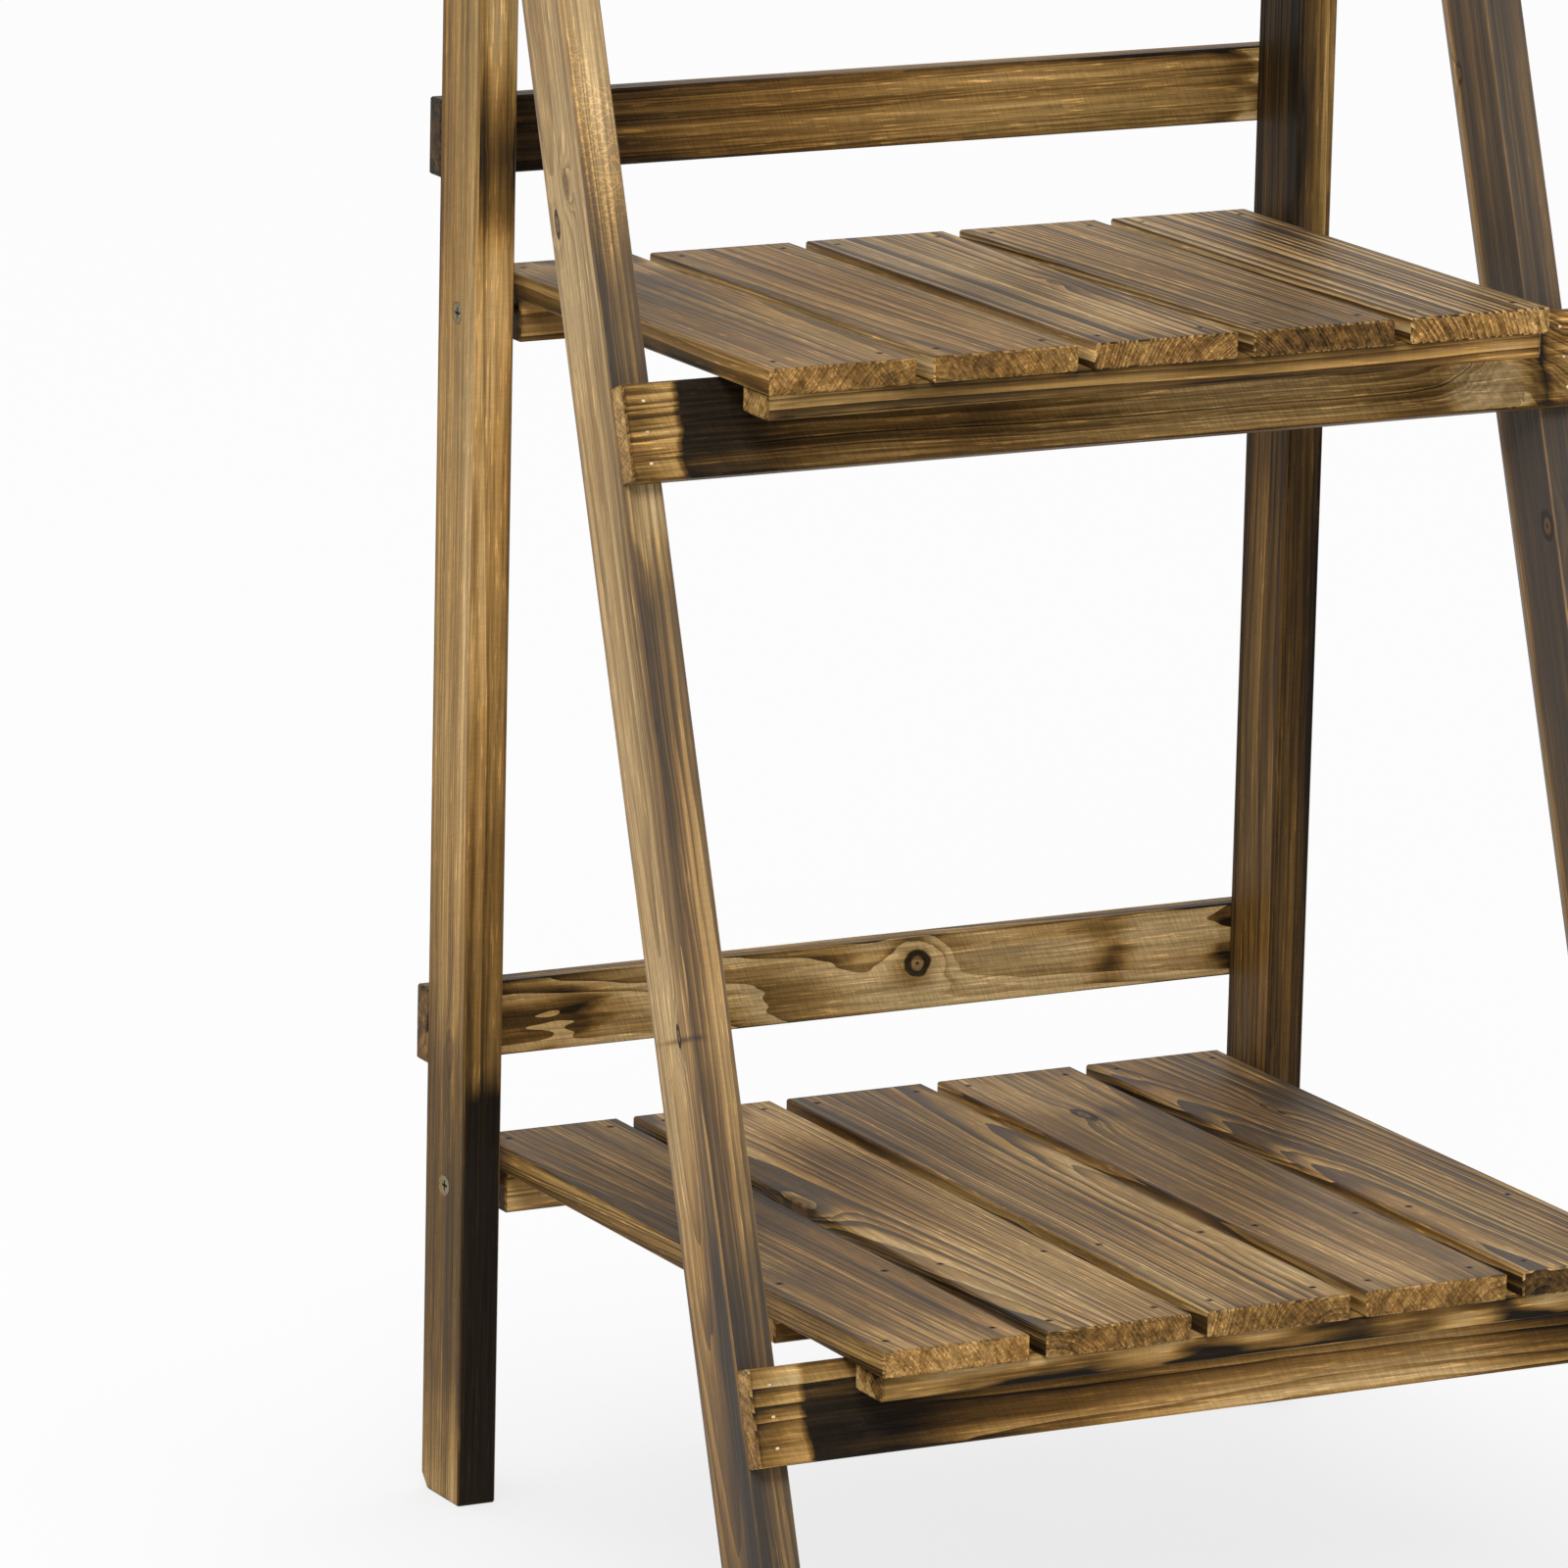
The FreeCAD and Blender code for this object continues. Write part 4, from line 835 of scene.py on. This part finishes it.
class Board:
    """A board's own frame and size, read from its node."""

    def __init__(self, node, axes):
        self.node = node
        grain, width = GRAIN_AXES[axes]
        self.turn = Matrix((grain, width, grain.cross(width))).transposed()
        low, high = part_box(node)
        self.centre = (low + high) / 2
        corners = [self.turn.transposed() @ (vertex.co - self.centre)
                   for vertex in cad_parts[node].data.vertices]
        self.size = Vector([max(c[i] for c in corners) - min(c[i] for c in corners) for i in range(3)])

    def patch(self, face, along, across, long, wide):
        """Centre and reach of a patch on a side face, in the board's own frame."""
        out = 2 if face in ("best", "back") else 1
        width = 3 - out
        centre, reach = Vector((0, 0, 0)), Vector((0, 0, 0))
        centre.x, reach.x = (along - 0.5) * self.size.x, long * self.size.x
        centre[width], reach[width] = (across - 0.5) * self.size[width], wide * self.size[width]
        centre[out], reach[out] = FACES[face][out] * self.size[out] / 2, PATCH_DEPTH
        return {"centre": centre, "reach": reach}

    def nail_places(self, nails):
        """Middle of each nail that ends in this board's best face, in the board's own frame."""
        found = []
        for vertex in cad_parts[nails].data.vertices:
            spot = self.turn.transposed() @ (vertex.co - self.centre)
            inside = abs(spot.x) < self.size.x / 2 and abs(spot.y) < self.size.y / 2
            if not inside or abs(self.size.z / 2 - spot.z) > NAIL_SINK:
                continue
            ends = [end for end in found if (end[0] - spot).length < NAIL_WIDTH]
            if ends:
                ends[0].append(spot)
            else:
                found.append([spot])
        return [sum(end, Vector()) / len(end) for end in found]


def face_mask(graph, normal, direction):
    """1 on a face that is turned towards a direction of the board's own frame."""
    facing = graph.vector("DOT_PRODUCT", normal, direction)
    return graph.between(facing, *FACING, smooth=False)


def both_faces_mask(graph, normal, axis):
    """1 on the two faces across an axis of the board's own frame."""
    facing = graph.math("ABSOLUTE", graph.split(normal)[axis])
    return graph.between(facing, *FACING, smooth=False)


def burn_by_face(graph, place, normal, faces):
    """The burn at a place along the grain, on whichever face this is."""
    burn = graph.ramp(place, faces["rest"])
    for name, stops in faces.items():
        if name != "rest":
            here = face_mask(graph, normal, FACES[name])
            burn = graph.mix(here, burn, graph.ramp(place, stops), "FLOAT")
    return burn


def board_space(graph, board):
    """Place and surface direction in the board's own frame: along, across and out of its best face."""
    coords = graph.add("ShaderNodeTexCoord")
    found = []
    for source, location in (("Object", board.centre), ("Normal", (0, 0, 0))):
        mapping = graph.add("ShaderNodeMapping", vector_type="TEXTURE")
        mapping.inputs["Location"].default_value = location
        mapping.inputs["Rotation"].default_value = board.turn.to_euler()
        graph.put(mapping.inputs["Vector"], coords.outputs[source])
        found.append(mapping.outputs[0])
    return found


def knots_in(graph, tree, board, here):
    """How far a board's knots push its rings, and the dark hearts and rims of those knots."""
    push, heart, rim = 0.0, 0.0, 0.0
    for along, across, depth, radius, stretch, dark in KNOTS.get(board.node, ()):
        knot = group_node(
            graph, tree, board=here, radius=radius, stretch=stretch, rim_strength=dark,
            centre=((along - 0.5) * board.size.x, across, depth))
        push = graph.plus(push, knot.outputs["Push"])
        heart = graph.math("MAXIMUM", heart, knot.outputs["Heart"])
        rim = graph.math("MAXIMUM", rim, knot.outputs["Rim"])
    return push, heart, rim


def nail_stains(graph, board, here):
    """1 in the dark stain round each nail in a slat's top."""
    tier = board.node.split("_")[0]
    stain = 0.0
    for nail in board.nail_places(f"{tier}_slat_nails"):
        apart = graph.vector("DISTANCE", here, nail)
        stain = graph.math("MAXIMUM", stain, graph.between(apart, *NAIL_STAIN))
    return stain


def board_material(node, groups, fir):
    """Torched fir for one board, with its own rings, knots and burn marks."""
    axes, faces, differences = BOARDS[node]
    marks = {**USUAL_MARKS, **differences}
    board = Board(node, axes)
    seed = float(sum((index + 1) * ord(letter) for index, letter in enumerate(node)) % SEEDS)
    material = bpy.data.materials.new(f"Fir {node.replace('_', ' ')}")
    material.use_nodes = True
    graph = Graph(material.node_tree)
    here, normal = board_space(graph, board)
    push, heart, rim = knots_in(graph, groups["knot"], board, here)
    across, below, tilt, rings, line, wander = FIGURES.get(node, USUAL_FIGURE)
    end = both_faces_mask(graph, normal, 0)
    grain = group_node(
        graph, groups["grain"], board=here, seed=seed, push=push, pith_across=across, pith_depth=below,
        tilt=tilt, wander=wander, ring_width=graph.mix(end, rings, rings * END_RINGS, "FLOAT")).outputs

    wobble = graph.noise(graph.scaled(here, BURN_WOBBLE, seed), 3.0)["Fac"]
    wobble = graph.centred(wobble, marks["wobble"] * 2)
    place = graph.plus(graph.split(here)[0], wobble)
    place = graph.math("MULTIPLY_ADD", place, 1 / board.size.x, 0.5)
    burn = burn_by_face(graph, place, normal, faces)
    for face, along, across, long, wide, amount in PATCHES.get(node, ()):
        patch = group_node(graph, groups["scorch"], board=here, amount=amount, seed=seed,
                           **board.patch(face, along, across, long, wide))
        burn = graph.plus(burn, patch.outputs["Burn"])

    edge = group_node(graph, groups["edge"], board=here, half_size=board.size / 2, seed=seed).outputs[0]
    # Painted sheen: how much grey is mixed into the colour in place of a reflection
    dust = marks["dust"]
    if axes == "slat":
        top = face_mask(graph, normal, FACES["best"])
        edge = graph.mul(edge, top)
        # Slats take the painted sheen on their tops only
        dust = graph.mul(top, dust)
        # Painted shade and burn: the lower part of a slat's sides, down in the gaps between slats, is
        # darker
        low = graph.between(graph.split(here)[2], *GAP_SHADE_HEIGHTS)
        low = graph.mul(low, both_faces_mask(graph, normal, 1))
        burn = graph.plus(burn, graph.mul(low, GAP_SHADE_AND_BURN))
        burn = graph.plus(burn, graph.mul(nail_stains(graph, board, here), NAIL_BURN))
    # Worn corners with a painted highlight: a pale grey line along the edges
    if "worn_highlight" in marks:
        corner = graph.math("POWER", edge, 3.0)
        dust = graph.math("MULTIPLY_ADD", corner, marks["worn_highlight"], dust)
    burn = graph.plus(burn, graph.mul(edge, marks["edge"]))
    crackle = 0.0
    if "crackle" in marks:
        spot = graph.math("ABSOLUTE", graph.minus(place, marks["crackle"]))
        front = face_mask(graph, normal, FACES["near"])
        crackle = graph.mul(graph.between(spot, *CRACKLE_REACH), front)

    off_ends = graph.math("MULTIPLY_ADD", end, -END_CALM, 1.0)
    torched = group_node(
        graph, groups["torch"], board=here, burn=burn, seed=seed, flame=marks["flame"],
        streak=marks["streak"], ring_tone=grain["Ring Tone"], season=grain["Season"],
        ring_burn=graph.mul(off_ends, marks["ring_burn"]),
        season_burn=graph.mul(off_ends, marks["season"]))
    finish = group_node(
        graph, groups["fir"], board=here, burn=torched.outputs["Burn"], line=grain["Line"],
        fibre=grain["Fibre"], heart=heart, rim=rim, seed=seed, roughness=fir.sheen, line_strength=line,
        crackle=crackle, saw=marks["saw"], end=end, dust=dust, fleck=marks["fleck"]).outputs
    bump = graph.add("ShaderNodeBump")
    bump.inputs["Strength"].default_value = WOOD_BUMP
    bump.inputs["Distance"].default_value = fir.relief
    graph.put(bump.inputs["Height"], finish["Height"])
    surface = material.node_tree.nodes["Principled BSDF"]
    graph.put(surface.inputs["Base Color"], finish["Color"])
    graph.put(surface.inputs["Roughness"], finish["Roughness"])
    graph.put(surface.inputs["Normal"], bump.outputs["Normal"])
    surface.inputs["Specular IOR Level"].default_value = WOOD_SPECULAR
    return material


def plated_material(name, colour, roughness):
    """Plated steel with fine scratches and slight spotting."""
    material = bpy.data.materials.new(name)
    material.use_nodes = True
    graph = Graph(material.node_tree)
    surface = material.node_tree.nodes["Principled BSDF"]
    here = graph.add("ShaderNodeTexCoord").outputs["Object"]
    spots = graph.noise(graph.scaled(here, METAL_SPOTS, 1.0), 3.0)["Fac"]
    lines = graph.noise(graph.scaled(here, METAL_SCRATCHES, 2.0), 2.0)["Fac"]
    dull = tuple(channel * 0.65 for channel in colour)
    graph.put(surface.inputs["Base Color"], graph.ramp(spots, ((0.35, dull), (0.6, tuple(colour)))))
    graph.put(surface.inputs["Roughness"], graph.math("MULTIPLY_ADD", lines, 0.25, roughness - 0.1))
    surface.inputs["Metallic"].default_value = 1.0
    bump = graph.add("ShaderNodeBump")
    bump.inputs["Strength"].default_value = 0.3
    bump.inputs["Distance"].default_value = 0.0002
    graph.put(bump.inputs["Height"], spots)
    graph.put(surface.inputs["Normal"], bump.outputs["Normal"])
    return material


def finish_node(node, material):
    """Give a node one material all over."""
    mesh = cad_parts[node].data
    mesh.materials.clear()
    mesh.materials.append(material)


def shared_groups(fir):
    """The node groups that every board uses, built once."""
    if "Torched Fir" not in bpy.data.node_groups:
        knot_group()
        grain_group()
        edge_group()
        scorch_group()
        torch_group()
        fir_group(fir)
    names = {"knot": "Fir Knot", "grain": "Fir Grain", "edge": "Board Edge",
             "scorch": "Scorch Patch", "torch": "Torch Marks", "fir": "Torched Fir"}
    return {key: bpy.data.node_groups[name] for key, name in names.items()}


def finish_boards(context, nodes):
    """Give each of these boards its own torched fir."""
    fir = context.scene.stand_fir
    groups = shared_groups(fir)
    for node in nodes:
        finish_node(node, board_material(node, groups, fir))


class STAND_OT_rear_frame(Operator):
    """Finish the rear posts and back rails in torched fir"""
    bl_idname = "stand.rear_frame"
    bl_label = "Rear Frame"

    def execute(self, context):
        finish_boards(context, ("rear_post_left", "rear_post_right", *(f"rear_rail_{t}" for t in TIERS)))
        return {"FINISHED"}


class STAND_OT_front_frame(Operator):
    """Finish the front legs and front rails in torched fir"""
    bl_idname = "stand.front_frame"
    bl_label = "Front Frame"

    def execute(self, context):
        finish_boards(context, ("front_leg_left", "front_leg_right", *(f"front_rail_{t}" for t in TIERS)))
        return {"FINISHED"}


class STAND_OT_shelves(Operator):
    """Finish the slats and battens of the three shelves in torched fir"""
    bl_idname = "stand.shelves"
    bl_label = "Shelves"

    def execute(self, context):
        for tier in TIERS:
            slats = [f"{tier}_slat_{number}" for number in range(1, 6)]
            finish_boards(context, (*slats, f"{tier}_rear_batten", f"{tier}_front_batten"))
        finish_boards(context, ("low_middle_batten",))
        return {"FINISHED"}


class STAND_OT_hardware(Operator):
    """Plate the bolts, washers, nuts, screws and nails"""
    bl_idname = "stand.hardware"
    bl_label = "Hardware"

    def execute(self, context):
        metal = context.scene.stand_hardware
        zinc = plated_material("Zinc Plate", metal.zinc, 0.4)
        screw = plated_material("Screw Plate", metal.screw, 0.45)
        nail = plated_material("Nail Ends", metal.nail, 0.5)
        slat_nail = plated_material("Slat Nail Ends", metal.slat_nail, 0.55)
        for node in ("pivot_bolts", "spacer_washers", "nut_washers", "pivot_nuts"):
            finish_node(node, zinc)
        for tier in TIERS:
            finish_node(f"{tier}_pivot_screws", screw)
            finish_node(f"{tier}_slat_nails", slat_nail)
        for node in ("rear_rail_nails", "front_rail_nails"):
            finish_node(node, nail)
        return {"FINISHED"}


def seen_white(graph):
    """1 for rays that show the background: straight from the camera, or mirrored or bent to it."""
    path = graph.add("ShaderNodeLightPath")
    seen = graph.math("MAXIMUM", path.outputs["Is Camera Ray"], path.outputs["Is Glossy Ray"])
    return graph.math("MAXIMUM", seen, path.outputs["Is Transmission Ray"])


def floor_material():
    """A pale floor that shows white to the camera and keeps a faint shadow."""
    material = bpy.data.materials.new("Studio Floor")
    material.use_nodes = True
    tree = material.node_tree
    graph = Graph(tree)
    surface = tree.nodes["Principled BSDF"]
    surface.inputs["Base Color"].default_value = (0.9, 0.9, 0.9, 1)
    surface.inputs["Roughness"].default_value = 0.9
    surface.inputs["Specular IOR Level"].default_value = 0.0
    glow = graph.add("ShaderNodeEmission")
    open_sky = graph.add("ShaderNodeAmbientOcclusion", samples=4)
    open_sky.inputs["Distance"].default_value = SHADOW_REACH
    shade = graph.ramp(open_sky.outputs["AO"], SHADOW_TONES, "LINEAR")
    graph.put(glow.inputs["Color"], shade)
    blend = graph.add("ShaderNodeMixShader")
    graph.put(blend.inputs[0], graph.mul(seen_white(graph), FLOOR_WHITE))
    graph.put(blend.inputs[1], surface.outputs[0])
    graph.put(blend.inputs[2], glow.outputs[0])
    graph.put(tree.nodes["Material Output"].inputs["Surface"], blend.outputs[0])
    return material


def studio_world(strength):
    """Even light all round, white where the camera sees it."""
    world = bpy.data.worlds.new("Studio")
    world.use_nodes = True
    graph = Graph(world.node_tree)
    back = world.node_tree.nodes["Background"]
    back.inputs["Color"].default_value = (1, 1, 1, 1)
    graph.put(back.inputs["Strength"], graph.mix(seen_white(graph), strength, 1.0, "FLOAT"))
    return world


def add_lamp(name, place, aim, power, size):
    """A round area lamp aimed at a point."""
    bpy.ops.object.light_add(type="AREA", location=place)
    lamp = bpy.context.object
    lamp.name = name
    lamp.data.energy = power
    lamp.data.shape = "DISK"
    lamp.data.size = size
    lamp.rotation_euler = (Vector(aim) - Vector(place)).to_track_quat("-Z", "Y").to_euler()


class STAND_OT_studio(Operator):
    """Set the floor, the light and the camera"""
    bl_idname = "stand.studio"
    bl_label = "Studio"

    def execute(self, context):
        studio = context.scene.stand_studio
        bpy.ops.object.select_all(action="DESELECT")
        bpy.ops.mesh.primitive_plane_add(size=FLOOR_WIDTH)
        floor = context.object
        floor.name = "studio_floor"
        floor.data.materials.append(floor_material())
        context.scene.world = studio_world(studio.ambient)
        add_lamp("Key", KEY_PLACE, KEY_AIM, studio.key_power, KEY_WIDTH)
        camera = bpy.data.objects.new("Camera", bpy.data.cameras.new("Camera"))
        context.collection.objects.link(camera)
        turn, rise = studio.azimuth, studio.elevation
        back = Vector((math.sin(turn) * math.cos(rise), -math.cos(turn) * math.cos(rise), math.sin(rise)))
        right = Vector((math.cos(turn), math.sin(turn), 0))
        level = Matrix((right, back.cross(right), back)).transposed()
        camera.matrix_world = (Matrix.Translation(studio.eye)
                               @ level.to_4x4() @ Matrix.Rotation(studio.roll, 4, "Z"))
        camera.data.lens = studio.lens
        camera.data.clip_end = 200
        context.scene.camera = camera
        context.scene.view_settings.view_transform = "Standard"
        return {"FINISHED"}


class STAND_PT_sidebar(Panel):
    """The stand's finishes and studio, in the order they are made"""
    bl_label = "Plant Stand"
    bl_space_type = "VIEW_3D"
    bl_region_type = "UI"
    bl_category = "Plant Stand"

    def draw(self, context):
        for operator in OPERATORS:
            self.layout.operator(operator.bl_idname)
        for settings in (context.scene.stand_fir, context.scene.stand_hardware, context.scene.stand_studio):
            box = self.layout.box()
            for name in settings.__annotations__:
                box.prop(settings, name)


SETTINGS = (FirSettings, HardwareSettings, StudioSettings)
OPERATORS = (STAND_OT_rear_frame, STAND_OT_front_frame, STAND_OT_shelves, STAND_OT_hardware,
             STAND_OT_studio)
CLASSES = (*SETTINGS, *OPERATORS, STAND_PT_sidebar)


def register():
    """Add the settings, the operators and the panel."""
    for cls in CLASSES:
        bpy.utils.register_class(cls)
    bpy.types.Scene.stand_fir = PointerProperty(type=FirSettings)
    bpy.types.Scene.stand_hardware = PointerProperty(type=HardwareSettings)
    bpy.types.Scene.stand_studio = PointerProperty(type=StudioSettings)


def unregister():
    """Take them out again."""
    del bpy.types.Scene.stand_studio
    del bpy.types.Scene.stand_hardware
    del bpy.types.Scene.stand_fir
    for cls in reversed(CLASSES):
        bpy.utils.unregister_class(cls)


def main():
    """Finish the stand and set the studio."""
    register()
    bpy.ops.stand.rear_frame()
    bpy.ops.stand.front_frame()
    bpy.ops.stand.shelves()
    bpy.ops.stand.hardware()
    bpy.ops.stand.studio()


if __name__ == "__main__":
    main()
